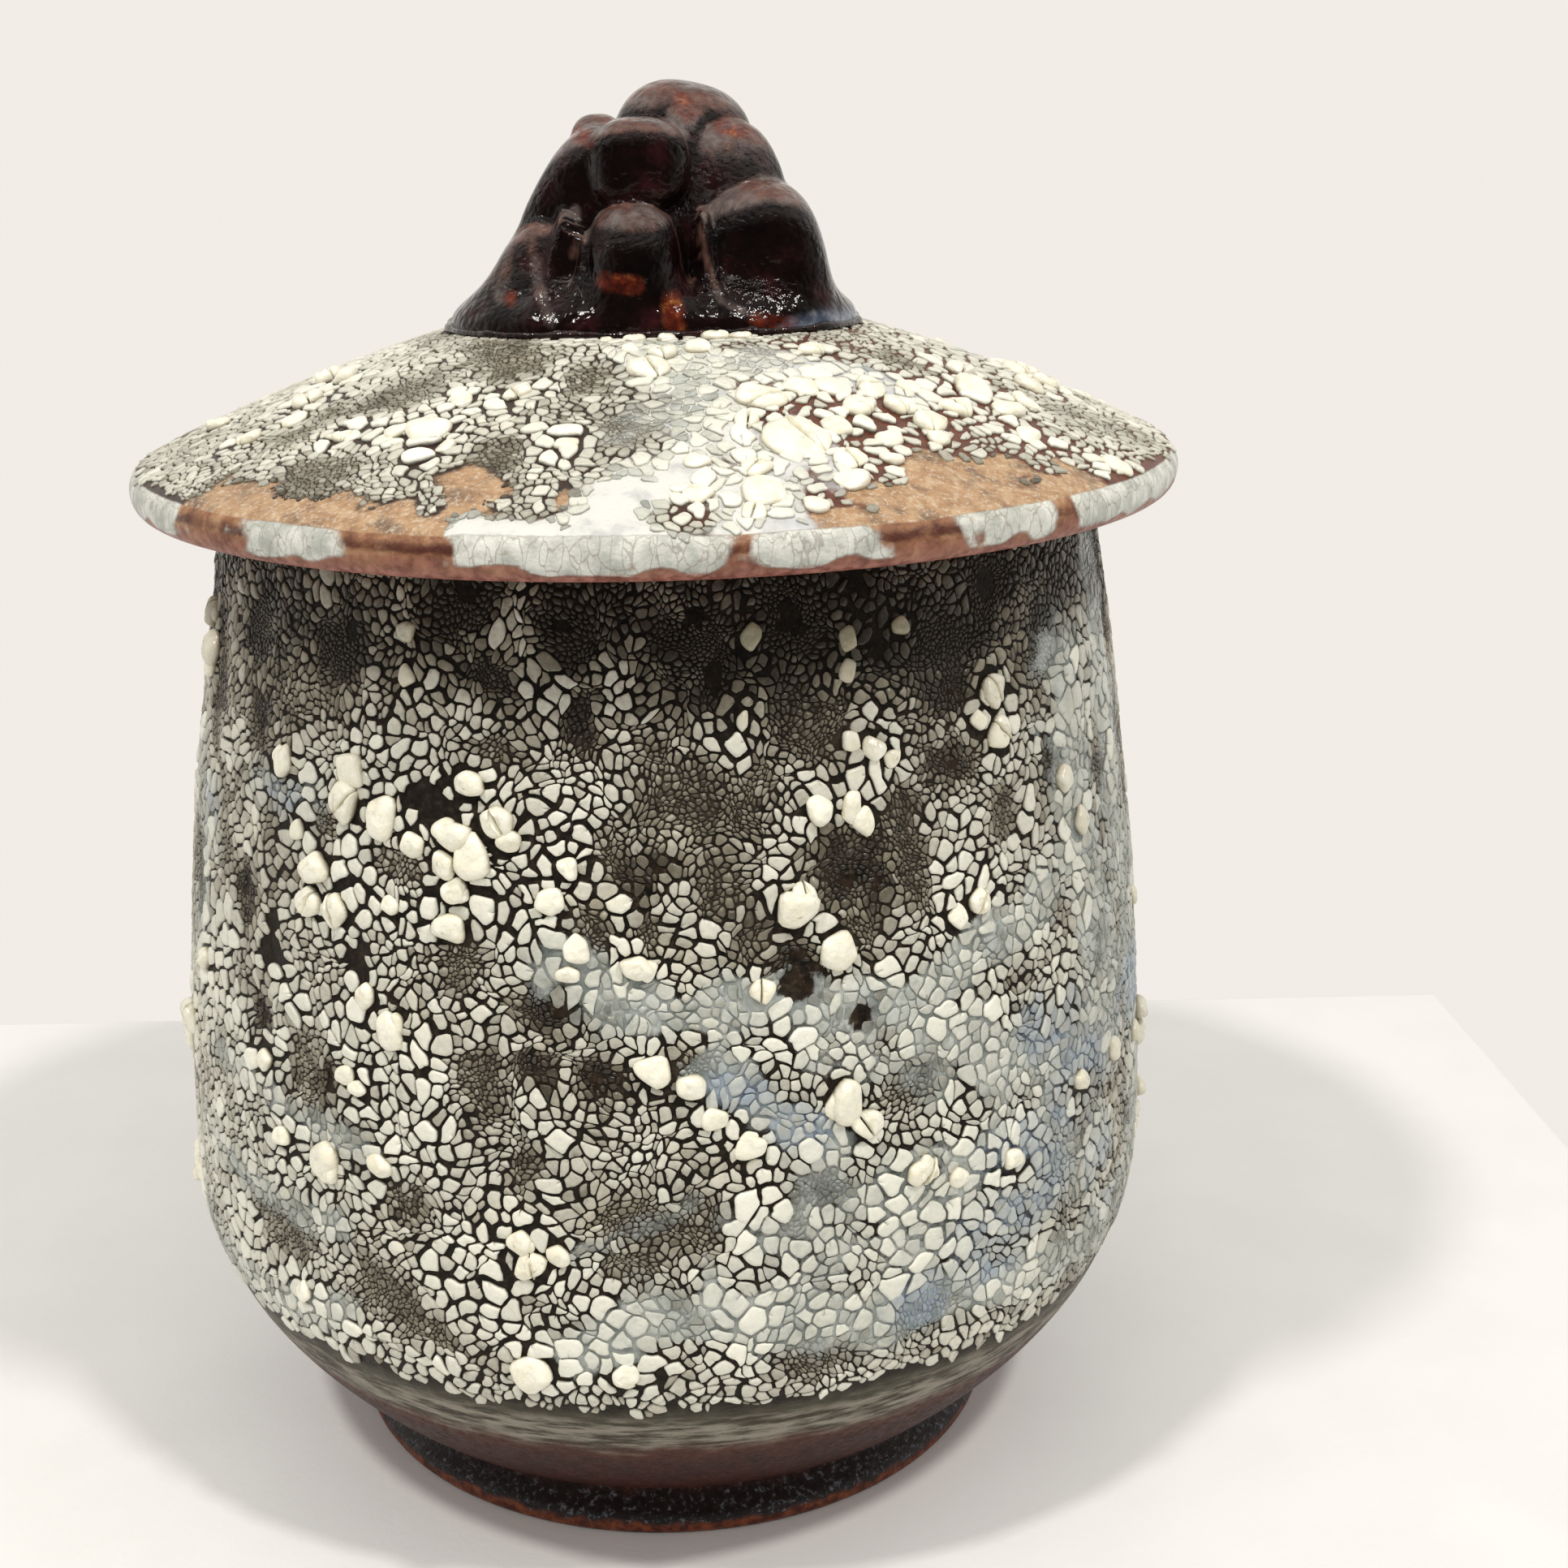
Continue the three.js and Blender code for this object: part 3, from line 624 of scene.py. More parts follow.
class WallFields(Fields):
    """The glaze over the unrolled wall."""

    def __init__(self, seed):
        rng = np.random.default_rng(seed)
        chart = self.chart = Chart(-GIRTH / 2, GIRTH / 2, 0, float(WALL.s[-1]), True)
        thin, blurs = spots_on(on_chart, WALL_THIN), spots_on(on_chart, WALL_BLURS)
        beads = [(x, y, 0.54 * wide, tall) for x, y, wide, tall in spots_on(on_chart, WALL_BEADS)]
        self.add_far_side(rng, thin, blurs, beads)
        kept = uncrowded(beads, 0.72)
        self.beads = kept + twins(kept, rng)
        wander = 0.7 * (chart.noise(rng, 4) - 0.5) + 0.35 * (chart.noise(rng, 1.6) - 0.5)
        self.far = chart.nearness(thin) + wander
        bare = chart.nearness(spots_on(on_chart, WALL_BARE)) + 0.6 * wander
        self.bare = smooth((1.25 - bare) * 3)
        self.veil = chart.runs(runs_on(on_chart, WALL_VEILS), 1.3 * wander) * (1 - self.bare)
        cobalt = [(x, y, r, r * 0.8) for x, y, r in spots_on(on_chart, WALL_COBALT)]
        self.cobalt = smooth(2.0 - chart.nearness(cobalt) + wander)
        self.tint = self.cobalt * self.veil
        blur = chart.nearness(blurs) + 0.9 * wander
        self.blur = smooth((1.9 - blur) / 1.3)
        lump = chart.noise(rng, 8)
        near = smooth(1 - (chart.nearness([(x, y, 1, 1) for x, y, _, _ in kept]) - 2) / 4.5)
        heavy = smooth((self.far - 0.4) / 1.1)
        # The glaze is darker under the lid, most of all in front, and high up on the left and right; under
        # the lid this is painted shadow of the lid, over glaze that also runs thinner there
        front = smooth((54 - np.abs(chart.across(chart.x, 32))) / 34)
        under_lid_shade = smooth((chart.y - WALL.at_height(127)) / 21)
        under_lid_shade *= 0.47 + 0.48 * front + 0.4 * chart.noise(rng, 13)
        upper = smooth((chart.y - WALL.at_height(84)) / 20)
        left = smooth((-chart.x - 46) / 22) * smooth((chart.x + 135) / 30) * upper
        right = smooth((chart.x - 50) / 22) * smooth((135 - chart.x) / 30)
        high = (chart.y - WALL.at_height(114)) / 15
        middle = smooth(1.4 - np.hypot(chart.across(chart.x, 16) / 24, high))
        self.tone = 0.12 * (heavy - 0.6) + 0.06 * near + 0.18 * (chart.noise(rng, 5) - 0.5) + 0.02 * self.veil
        self.tone += -0.43 * under_lid_shade - 0.3 * self.blur - 0.13 * left - 0.14 * right - 0.1 * middle - 0.035
        self.size = 0.69 + heavy * (0.58 + 1.75 * lump * lump)
        self.size += (0.75 * near + 0.2 * self.veil) * heavy * (1 - 0.4 * self.blur)
        self.size *= 1 - 0.22 * np.clip(under_lid_shade, 0, 1)
        # Painted shade for the beads: the lid's shadow, and a little more on the right
        self.painted_shade = np.clip(under_lid_shade + 0.3 * right, 0, 1)
        self.crack = (1 + 0.45 * near) * (1 - 0.35 * self.veil) * (0.82 + 0.28 * heavy)
        # The crackle ends in scallops above the foot
        scallops = np.abs(np.sin(chart.x * math.pi / 9.3 + 1.4 * np.sin(chart.x / 17)))
        low = WALL.at_height(38.6 - 1.5 * scallops)
        self.keep = (chart.y > low) & (blur > 0.4) & (self.bare < 0.5)
        dent = 0.4 * smooth((1.9 - self.far) / 1.6) + 0.5 * (chart.noise(rng, 22) - 0.5)
        self.ground = -0.34 + 0.26 * self.veil - dent - 0.25 * self.bare
        fade = smooth((chart.y - WALL.at_height(30)) / 9)
        self.ground = self.ground * fade - 0.12 * (1 - fade)

    def add_far_side(self, rng, thin, blurs, beads):
        """Adds thin places, blurs and groups of beads round the sides and back."""
        side, half = 92, GIRTH / 2
        low, high = WALL.at_height(40), WALL.at_height(154)
        for left, right in ((-half, -side), (side, half)):
            for x, y in scattered(rng, 34, (left, low), (right, high), 15, thin):
                r = rng.uniform(2.4, 4)
                thin.append((x, y, 1.3 * r, 1.3 * r * rng.uniform(0.9, 1.8)))
                if rng.random() < 0.4:
                    blurs.append((
                        x + rng.normal(0, 2), y, rng.uniform(0.25, 0.7) * r, r * rng.uniform(0.4, 1.5)
                    ))
            for x, y in scattered(rng, 13, (left, low + 4), (right, high - 6), 19):
                for _ in range(rng.integers(1, 7)):
                    dx, dy = rng.normal(0, 3.2, 2)
                    beads.append((
                        x + dx, min(y + dy, high - 4), rng.uniform(1.2, 2.3), rng.uniform(0.85, 1.25)
                    ))


class LidFields(Fields):
    """The glaze over the lid, laid out flat round its middle."""

    def __init__(self, seed):
        rng = np.random.default_rng(seed)
        reach = 94
        chart = self.chart = Chart(-reach, reach, -reach, reach, False)
        thin = spots_on(over_lid, [(*row, row[2]) for row in LID_THIN])
        beads = [(x, y, wide / 2, tall) for x, y, wide, tall in spots_on(over_lid, LID_BEADS)]
        self.add_far_side(rng, thin, beads)
        self.beads = uncrowded(beads, 0.76)
        r, turn = np.hypot(chart.x, chart.y), np.degrees(np.arctan2(chart.x, -chart.y))
        wander = 0.8 * (chart.noise(rng, 5) - 0.5) + 0.4 * (chart.noise(rng, 1.8) - 0.5)
        self.far = chart.nearness(thin) + wander
        self.veil = chart.runs(runs_on(over_lid, LID_SPLASH), 1.2 * wander)

        def past(start, end):
            """Degrees by which each place is past the ends of a stretch of the edge."""
            return np.abs((turn - (start + end) / 2 + 180) % 360 - 180) - (end - start) / 2

        spots = spots_on(over_lid, [(*row, row[2]) for row in LID_TAN_SPOTS])
        tan = smooth((1.5 - chart.nearness(spots) - 2 * wander) / 1.1)
        for start, end, inward in LID_TAN:
            share = past(start, end) * 2 / (end - start)
            band = smooth((r - LID_RIM + inward - 9 * wander) / 3.6) * smooth((0.06 - share) * 7)
            tan = np.maximum(tan, band)
        self.tan = tan * (1 - smooth(self.veil * 1.4))
        drips = np.max([smooth(0.5 - (past(*ends) * 1.4 + 10 * wander) / 7) for ends in LID_DRIPS], 0)
        hang = LID_RIM + 8.0 + 3.0 * (chart.noise(rng, 5) - 0.5)
        self.drip = drips * smooth((r - EDGE_LINE + 0.6) / 1.0) * smooth((hang - r) / 1.5)
        lump = chart.noise(rng, 9)
        near = smooth(1 - (chart.nearness([(x, y, 1, 1) for x, y, _, _ in self.beads]) - 2.5) / 5)
        heavy = smooth((self.far - 0.7) / 1.5)
        inner, outer = smooth((r - 30) / 16), smooth((r - 60) / 12)
        self.right = right = smooth((chart.x + 6) / 26) * smooth((20 - chart.y) / 30)
        self.tone = 0.1 * (heavy - 0.5) + 0.08 * near + 0.02 * right + 0.14 * (chart.noise(rng, 6) - 0.5)
        self.tone += 0.08 * self.veil
        self.tone += 0.01 * smooth((chart.x + 20) / 30) - 0.22 * smooth(self.tan * 1.8) - 0.035
        self.size = 0.74 + heavy * (0.75 + 0.9 * lump * lump) * (0.3 + 0.7 * inner) * (1 - 0.4 * outer)
        self.size = (self.size + 0.9 * near + 0.5 * right * inner) * (1 - 0.35 * smooth(self.tan * 1.8))
        self.crack = (0.85 + 0.4 * near + 0.55 * right) * (1 - 0.45 * self.veil) * (0.75 + 0.35 * heavy)
        foot = np.hypot(chart.x / KNOB_SKIRT[0], chart.y / KNOB_SKIRT[1])
        flooded = smooth((self.veil - 0.76) * 5) * smooth((r - 62) / 8)
        self.keep = (foot > 1.04) & (r < EDGE_LINE - 0.7) & (self.tan < 0.5) & (flooded < 0.5)
        self.tint = 0.6 * self.veil * smooth((chart.x - 8) / 20)
        self.painted_shade = np.zeros(r.shape)
        self.ground = -0.28 + 0.22 * self.veil - 0.2 * smooth(1.6 - self.far)
        self.ground += 0.06 * self.tan
        self.ground += 0.25 * flooded
        self.ground *= smooth((LID_RIM + 6 - r) / 4)

    def add_far_side(self, rng, thin, beads):
        """Adds thin places and groups of beads over the lid's back half."""
        for x, y in scattered(rng, 16, (-72, -5), (72, 72), 14):
            if 36 < math.hypot(x, y) < 72:
                thin.append((x, y, rng.uniform(2.4, 4.4), rng.uniform(2.4, 4.4)))
        for x, y in scattered(rng, 24, (-74, 0), (74, 74), 11):
            if 38 < math.hypot(x, y) < 74:
                for _ in range(rng.integers(1, 6)):
                    dx, dy = rng.normal(0, 3.6, 2)
                    beads.append((x + dx, y + dy, rng.uniform(1.4, 2.9), rng.uniform(0.45, 0.8)))


# Domes: largest side, points round it, and rings as share of the way out from the middle, share of the height
DOMES = [
    (0.75, 9, [(1, 0), (0.88, 1)]),
    (1.1, 12, [(1, 0), (0.9, 1)]),
    (1.7, 16, [(1, 0), (0.96, 0.7), (0.82, 1)]),
    (2.6, 20, [(1, 0), (0.975, 0.5), (0.89, 0.87), (0.6, 1)]),
    (99, 24, [(1, 0), (0.985, 0.42), (0.92, 0.76), (0.72, 0.95), (0.38, 1)]),
]
LEAST_SIDE = 0.25
BEAD_DOME = 22, [(0.96, 0), (1, 0.26), (0.97, 0.5), (0.87, 0.74), (0.68, 0.91), (0.36, 1)]
BEAD_CORNERS = 6
SPLIT_HALF = 1.75  # only beads with a larger half width crack in two
SUNK = 0.14  # how far a dome's foot goes into the undercoat


def glaze_cells(fields, on_surface, seed, pitch, shares, height):
    """Heaps of the islands of the crawled glaze, shared out by their angle round the jar."""
    rng = np.random.default_rng(seed)
    chart = fields.chart
    islands = Islands(fields, pitch, rng)
    count = len(islands.places)
    rough = islands.reach(np.arange(count), islands.turns[:, None] + full_turn(8))
    kept = chart.at(fields.keep.astype(float), islands.places) > 0.5
    sides = np.sqrt(math.pi * (rough**2).mean(1)) * kept
    bends = fields.bends(rng)
    notch, depth = rng.random(count) < 0.35, rng.uniform(0.35, 0.7, count)
    heaps = [Heap() for _ in range(shares)]
    least = LEAST_SIDE
    for most, around, dome in DOMES:
        pick = np.flatnonzero((sides >= least) & (sides < most))
        least = most
        angles = islands.turns[pick, None] + full_turn(around)
        side = sides[pick]
        # A short crack runs into some of the larger islands
        nicked = notch[pick] & (side > 1.3)
        for k, off in ((0, -0.09), (2, 0.09)):
            angles[:, k] = np.where(nicked, angles[:, 1] + off / side, angles[:, k])
        far = islands.reach(pick, angles)
        far[:, 1] *= np.where(nicked, depth[pick], 1)
        way = np.stack([np.cos(angles), np.sin(angles)], -1)
        outlines = islands.places[pick, None, :2] + far[..., None] * way
        outlines = outlines + np.stack([chart.at(bend, outlines) for bend in bends], -1)
        middle = outlines.mean(1)
        coat = 0.26 + 0.205 * side - 0.011 * side**2
        coat = coat + fields.at("tone", middle) + rng.normal(0, 0.05, len(pick))
        veil = fields.at("veil", middle)
        coat -= 0.2 * veil * smooth((2.1 - side) / 1.2)
        tall = height * (0.1 + 0.17 * side) * (0.7 + 0.6 * np.clip(coat, 0, 1)) * (1 - 0.35 * veil)
        share, rise = np.array(dome).T
        flat = middle[:, None, None] + (outlines - middle[:, None])[:, None] * share[:, None, None]
        lean = rng.normal(0, 0.05, (len(pick), 2))
        slant = ((flat - middle[:, None, None]) * lean[:, None, None]).sum(-1)
        swell = tall[:, None, None] * rise[:, None] + slant
        out = fields.at("ground", flat) + np.where(rise[:, None] > 0, swell, -SUNK)
        marks = dome_marks(out, np.clip(coat, 0, 1), veil, rise, fields.at("tint", middle))
        if chart.wraps:
            angle = (middle[:, 0] - chart.x0) / chart.wide % 1
        else:
            angle = (np.arctan2(middle[:, 0], -middle[:, 1]) / 2 / math.pi) % 1
        part = np.minimum((angle * shares).astype(int), shares - 1)
        for k in np.unique(part):
            mine = part == k
            places = on_surface(flat[mine][..., 0], flat[mine][..., 1], out[mine])
            heaps[k].add(places, flat[mine], marks[mine])
    return heaps


def dome_marks(out, coat, veil, rise, tint):
    """What the domes' material reads: three values for each dome, and how far up it each ring is."""
    each = [value[:, None, None] for value in (coat, veil, tint)]
    return np.stack(np.broadcast_arrays(each[0], each[1], rise[:, None] + 0 * out, each[2]), -1)


def bead_domes(fields, on_surface, seed, height):
    """One heap of the raised beads: uneven pebbles of thick glaze."""
    rng = np.random.default_rng(seed)
    chart, beads = fields.chart, np.array(fields.beads)
    count = len(beads)
    around, dome = BEAD_DOME
    turn = full_turn(around)
    uneven = rng.uniform(-0.3, 0.3, (count, BEAD_CORNERS))
    at = (np.arange(BEAD_CORNERS) + uneven) * 2 * math.pi / BEAD_CORNERS
    far = rng.uniform(0.74, 1.2, (count, BEAD_CORNERS))
    reach = np.clip(np.cos(turn[None, :, None] - at[:, None]), 0, None) / far[:, None]
    radius = (reach**8).sum(-1) ** (-1 / 8) * 1.04
    share, rise = np.array(dome).T
    spin = rng.uniform(0, math.pi, count)
    way = np.stack([np.cos(turn), np.sin(turn)], -1)
    half, squash = beads[:, 2], beads[:, 3]
    stretch = np.stack([half, half * squash if chart.wraps else half], -1)
    outline = beads[:, None, :2] + stretch[:, None] * radius[..., None] * way
    tall = height * half * rng.uniform(0.75, 1.1, count) * (1 if chart.wraps else squash * 1.1)
    lean = rng.normal(0, 0.12, (count, 2))
    # Some large beads are cracked in two: each half is the outline pushed back to its own side of the crack
    split = np.flatnonzero((half > SPLIT_HALF) & (rng.random(count) < 0.5))
    part = np.concatenate([np.arange(count), split])
    sign = np.zeros(len(part))
    sign[split], sign[count:] = 1, -1
    slope, aside = rng.uniform(-0.9, 0.9, count)[part], rng.uniform(-0.3, 0.3, count)[part]
    facing = sign[:, None] * np.stack([np.cos(slope), np.sin(slope)], -1)
    beads, outline, tall, lean, spin = beads[part], outline[part], tall[part], lean[part], spin[part, None]
    behind = ((outline - beads[:, None, :2]) * facing[:, None]).sum(-1)
    behind = behind - (sign * aside * beads[:, 2] + 0.1)[:, None]
    outline = outline - np.minimum(behind, 0)[..., None] * facing[:, None]
    middle = np.where(sign[:, None] == 0, beads[:, :2], outline.mean(1))
    lumps = 1 + 0.10 * np.sin(2 * turn + spin)[:, None] * share[:, None]
    lumps = lumps + 0.07 * np.sin(3 * turn - 2 * spin)[:, None]
    flat = middle[:, None, None] + (outline - middle[:, None])[:, None] * share[:, None, None]
    slant = ((flat - beads[:, None, None, :2]) * lean[:, None, None]).sum(-1)
    swell = tall[:, None, None] * rise[:, None] * lumps + slant * rise[:, None]
    out = fields.at("ground", flat) + np.where(rise[:, None] > 0, swell, -SUNK)
    marks = dome_marks(out, rng.random(len(beads)), np.full(len(beads), 0.1), rise, fields.at("painted_shade", beads))
    heap = Heap()
    heap.add(on_surface(flat[..., 0], flat[..., 1], out), flat, marks)
    return heap


def add_glaze(scene, fields, on_surface, body, name, look_name, shares, seed):
    """Adds the islands of the crawled glaze in some pieces, and the beads as one more."""
    sizes = scene.jar_sizes
    look = crawl_glaze_look(look_name, tuple(scene.jar_colours.cream))
    heaps = glaze_cells(fields, on_surface, seed, sizes.cell_pitch, shares, sizes.cell_height)
    for k, heap in enumerate(heaps):
        heap.settle(f"{name}_glaze_{k + 1}", body, look)
    bead_domes(fields, on_surface, seed + 1, sizes.bead_height).settle(f"{name}_beads", body, bead_look())


class Nodes:
    """Adds nodes to a tree."""

    def __init__(self, tree):
        self.tree = tree

    def feed(self, socket, value):
        """Links or sets an input. None leaves it alone."""
        if isinstance(value, bpy.types.NodeSocket):
            self.tree.links.new(value, socket)
        elif value is not None:
            socket.default_value = value

    def node(self, kind, *values, **settings):
        """A node with its settings and, in order, its inputs."""
        node = self.tree.nodes.new("ShaderNode" + kind)
        for name, value in settings.items():
            setattr(node, name, value)
        for socket, value in zip(node.inputs, values):
            self.feed(socket, value)
        return node

    def sum(self, a, b, operation="ADD", clamp=False):
        return self.node("Math", a, b, operation=operation, use_clamp=clamp).outputs[0]

    def times(self, a, b):
        return self.sum(a, b, "MULTIPLY")

    def most(self, a, b):
        return self.sum(a, b, "MAXIMUM")

    def fade(self, value, start, end, low=0.0, high=1.0, easing="SMOOTHSTEP"):
        """low at start and before, high at end and after, eased between."""
        return self.node("MapRange", value, start, end, low, high, interpolation_type=easing).outputs[0]


class Look(Nodes):
    """A material built up from nodes. Its lengths are in millimetres on the piece."""

    def __init__(self, name, **sockets):
        self.material = bpy.data.materials.new(name)
        self.material.use_nodes = True
        super().__init__(self.material.node_tree)
        self.shader = self.tree.nodes["Principled BSDF"]
        for socket, value in sockets.items():
            self.shader.inputs[socket.replace("_", " ")].default_value = value
        self.place = self.scaled(self.node("TexCoord").outputs["Object"], 1 / METRE)

    def scaled(self, vector, factor):
        """A vector times a number, or times a number along each axis."""
        if isinstance(factor, tuple):
            return self.node("VectorMath", vector, factor, operation="MULTIPLY").outputs[0]
        node = self.node("VectorMath", vector, operation="SCALE")
        node.inputs["Scale"].default_value = factor
        return node.outputs[0]

    def mix(self, share, a, b):
        """Colour a, turning to b with the share."""
        node = self.node("Mix", data_type="RGBA")
        for socket, value in zip((node.inputs[0], node.inputs[6], node.inputs[7]), (share, a, b)):
            self.feed(socket, (*value, 1) if isinstance(value, tuple) else value)
        return node.outputs[2]

    def cover(self, base, top, marks, start, end, low=0.0, high=1.0):
        """Colour base, with top over it as the marks rise from start to end."""
        return self.mix(self.fade(marks, start, end, low, high), base, top)

    def noise(self, size, detail=3.0, roughness=0.55, bend=0.0, place=None):
        """Noise with marks about size millimetres across."""
        node = self.node("TexNoise", place or self.place)
        values = {"Scale": 1 / size, "Detail": detail, "Roughness": roughness, "Distortion": bend}
        for socket, value in values.items():
            node.inputs[socket].default_value = value
        return node.outputs["Fac"]

    def ragged(self, value, noise, reach):
        """The value, moved up and down by a noise over this reach."""
        return self.sum(value, self.times(self.sum(noise, -0.5), reach))

    def cracks(self, size, bend, place):
        """Distance to the nearest crack in shares of a cell, for cells of this size."""
        shift = self.node("TexNoise", place)
        shift.inputs["Scale"].default_value = 1.3 / size
        push = self.node("VectorMath", shift.outputs["Color"], (0.5, 0.5, 0.5), operation="SUBTRACT")
        push = self.scaled(push.outputs[0], 2 * bend * size)
        moved = self.node("VectorMath", place, push, operation="ADD").outputs[0]
        node = self.node("TexVoronoi", moved, feature="DISTANCE_TO_EDGE")
        node.inputs["Scale"].default_value = 1 / size
        return node.outputs["Distance"]

    def ramp(self, value, *stops):
        """Colours at places along a value."""
        node = self.node("ValToRGB", value)
        points = node.color_ramp.elements
        for i, (at, color) in enumerate(stops):
            point = points[i] if i < 2 else points.new(at)
            point.position, point.color = at, (*color, 1)
        return node.outputs[0]

    def marks(self, name="glaze_marks"):
        """The piece's own marks, as four values."""
        field = self.node("Attribute", attribute_name=name)
        return [*self.node("SeparateColor", field.outputs["Color"]).outputs, field.outputs["Alpha"]]

    def part_of_place(self, axis):
        """The place's x, y or z, as axis 0, 1 or 2."""
        return self.node("SeparateXYZ", self.place).outputs[axis]

    def finish(self, color, roughness, relief, depth):
        """Joins colour, roughness and relief (of this depth) to the shader."""
        bump = self.tree.nodes.new("ShaderNodeBump")
        bump.inputs["Strength"].default_value = 1.0
        bump.inputs["Distance"].default_value = depth * METRE
        for value, socket in (
            (relief, bump.inputs["Height"]), (bump.outputs[0], self.shader.inputs["Normal"]),
            (color, self.shader.inputs["Base Color"]), (roughness, self.shader.inputs["Roughness"]),
        ):
            self.feed(socket, value)
        return self.material


def crawl_glaze_look(name, warm):
    """Raised islands: grey-green where thin, cream white where thick, and dark along their foot."""
    look = Look(name, Roughness=0.3, Specular_IOR_Level=0.4)
    coat, veil, rise, tint = look.marks()
    patch = look.noise(0.9, 3)
    coat = look.sum(coat, look.times(look.sum(patch, -0.5), 0.2), clamp=True)
    color = look.ramp(
        coat, (0.0, (0.028, 0.022, 0.015)), (0.15, (0.075, 0.064, 0.044)), (0.3, (0.2, 0.178, 0.13)),
        (0.41, (0.35, 0.33, 0.265)), (0.53, (0.53, 0.515, 0.43)), (0.68, (0.7, 0.69, 0.59)),
        (0.84, (0.83, 0.815, 0.7)), (1.0, (0.92, 0.9, 0.79)),
    )
    color = look.cover(color, look.mix(0.5, color, warm), look.noise(9, 2), 0.56, 0.75, 0, 0.35)
    weak = look.fade(coat, 0.46, 0.8, 1.0, 0.3)
    film = look.cover((0.27, 0.3, 0.275), (0.5, 0.53, 0.5), look.noise(4, 3), 0.35, 0.65)
    thin_veil, blue_veil = look.times(veil, weak), look.times(tint, weak)
    color = look.mix(look.times(thin_veil, look.fade(look.noise(3, 3), 0.3, 0.65, 0.35, 0.85)), color, film)
    blue = look.times(blue_veil, look.fade(look.noise(2.4, 3), 0.3, 0.6, 0.2, 0.95))
    color = look.mix(blue, color, (0.3, 0.355, 0.41))
    color = look.cover(color, (0.05, 0.04, 0.028), rise, 0.0, 0.6, 0.85, 0.0)
    relief = look.sum(look.noise(0.7, 2), look.times(look.noise(2.2, 2), 1.5))
    return look.finish(color, look.fade(patch, 0.3, 0.8, 0.24, 0.42), relief, 0.12)


def bead_look():
    """Thick beads: cream white with a faint yellow cast, brown along their foot, and painted shade of the lid
    over them.
    """
    look = Look("glaze_bead", Roughness=0.28)
    rise, painted_shade = look.marks()[2:]
    tone = look.noise(2.5, 3)
    color = look.ramp(tone, (0.3, (0.8, 0.75, 0.58)), (0.55, (0.88, 0.85, 0.71)), (0.8, (0.91, 0.885, 0.78)))
    color = look.cover(color, (0.84, 0.77, 0.57), look.noise(6, 2), 0.55, 0.72, 0, 0.35)
    # Painted shade of the lid: the darker brown-olive that beads turn to where the lid's shadow falls
    painted_light = look.cover((0.2, 0.185, 0.11), (0.3, 0.25, 0.16), look.noise(3, 2), 0.4, 0.6)
    color = look.mix(look.times(painted_shade, 0.9), color, painted_light)
    color = look.cover(color, (0.27, 0.215, 0.13), rise, 0.05, 0.55, 0.75, 0.0)
    relief = look.sum(look.noise(1.1, 2), look.times(look.noise(2.8, 1), 2.0))
    return look.finish(color, look.fade(tone, 0.3, 0.8, 0.22, 0.38), relief, 0.25)


def wall_undercoat_look():
    """The dark coat under the wall's glaze, its milky veils, and the bare foot of the wall."""
    look = Look("wall_undercoat", Roughness=0.42, Specular_IOR_Level=0.1)
    far, veil, cobalt, blur = look.marks()
    height = look.part_of_place(2)
    mottle, fine = look.noise(1.2, 5, 0.65), look.noise(0.8, 4, 0.7)
    color = look.ramp(
        mottle, (0.3, (0.008, 0.006, 0.005)), (0.52, (0.018, 0.014, 0.010)), (0.75, (0.05, 0.037, 0.025)),
    )
    # A browner coat under the fine crackle, the soft dark blurs in it, and the shade under the lid
    brown = look.cover((0.022, 0.016, 0.01), (0.062, 0.05, 0.033), fine, 0.3, 0.7)
    color = look.cover(color, brown, far, 0.1, 0.36, 0.8, 0)
    iron = look.cover((0.008, 0.007, 0.005), (0.032, 0.02, 0.012), look.noise(2.2, 4, 0.6), 0.35, 0.65)
    iron = look.cover(iron, (0.085, 0.066, 0.045), fine, 0.5, 0.72, 0, 0.75)
    color = look.cover(color, iron, blur, 0.2, 0.7)
    color = look.cover(color, (0.005, 0.004, 0.003), height, 126, 144, 0, 0.7)
    # Milky veils
    drift = look.noise(3.4, 5, 0.6, 0.6)
    film = look.ragged(look.ragged(veil, drift, 0.85), fine, 0.6)
    milk = look.cover((0.19, 0.215, 0.2), (0.5, 0.525, 0.49), look.noise(5, 4), 0.35, 0.68)
    blue = look.cover((0.075, 0.105, 0.17), (0.32, 0.38, 0.44), drift, 0.38, 0.62)
    milk = look.mix(look.times(cobalt, 0.9), milk, blue)
    color = look.cover(color, milk, film, 0.46, 0.86, 0, 0.93)
    # Below the crackle: olive glaze with a painted shadow just under the crackle's edge, thinning through
    # mauve to iron-red clay
    streak = look.noise(1.1, 4, 0.6, place=look.scaled(look.place, (0.16, 0.16, 1.1)))
    level = look.ragged(height, look.noise(7, 5, 0.6), 6.0)
    olive_with_shadow = look.cover((0.045, 0.037, 0.024), (0.25, 0.225, 0.18), streak, 0.38, 0.62)
    # Painted shadow: darker olive in a strip just under the crackle's scalloped edge
    olive_with_shadow = look.cover(olive_with_shadow, (0.07, 0.066, 0.042), level, 33, 36.5, 0, 0.85)
    mauve = look.cover((0.05, 0.009, 0.003), (0.075, 0.022, 0.009), streak, 0.35, 0.7)
    red = look.cover((0.018, 0.003, 0.001), (0.045, 0.008, 0.003), look.noise(2, 5, 0.65), 0.35, 0.7)
    bottom = look.cover(look.cover(red, mauve, level, 23, 28), olive_with_shadow, level, 26, 30.5)
    color = look.cover(bottom, color, look.ragged(height, look.noise(3, 3), 3.0), 34.5, 38.5)
    relief = look.sum(look.noise(0.5, 3), look.times(look.fade(film, 0.3, 0.7), 0.8))
    rough = look.sum(look.fade(mottle, 0.3, 0.8, 0.34, 0.6), look.times(look.fade(film, 0.2, 0.7), -0.12))
    return look.finish(color, rough, relief, 0.14)


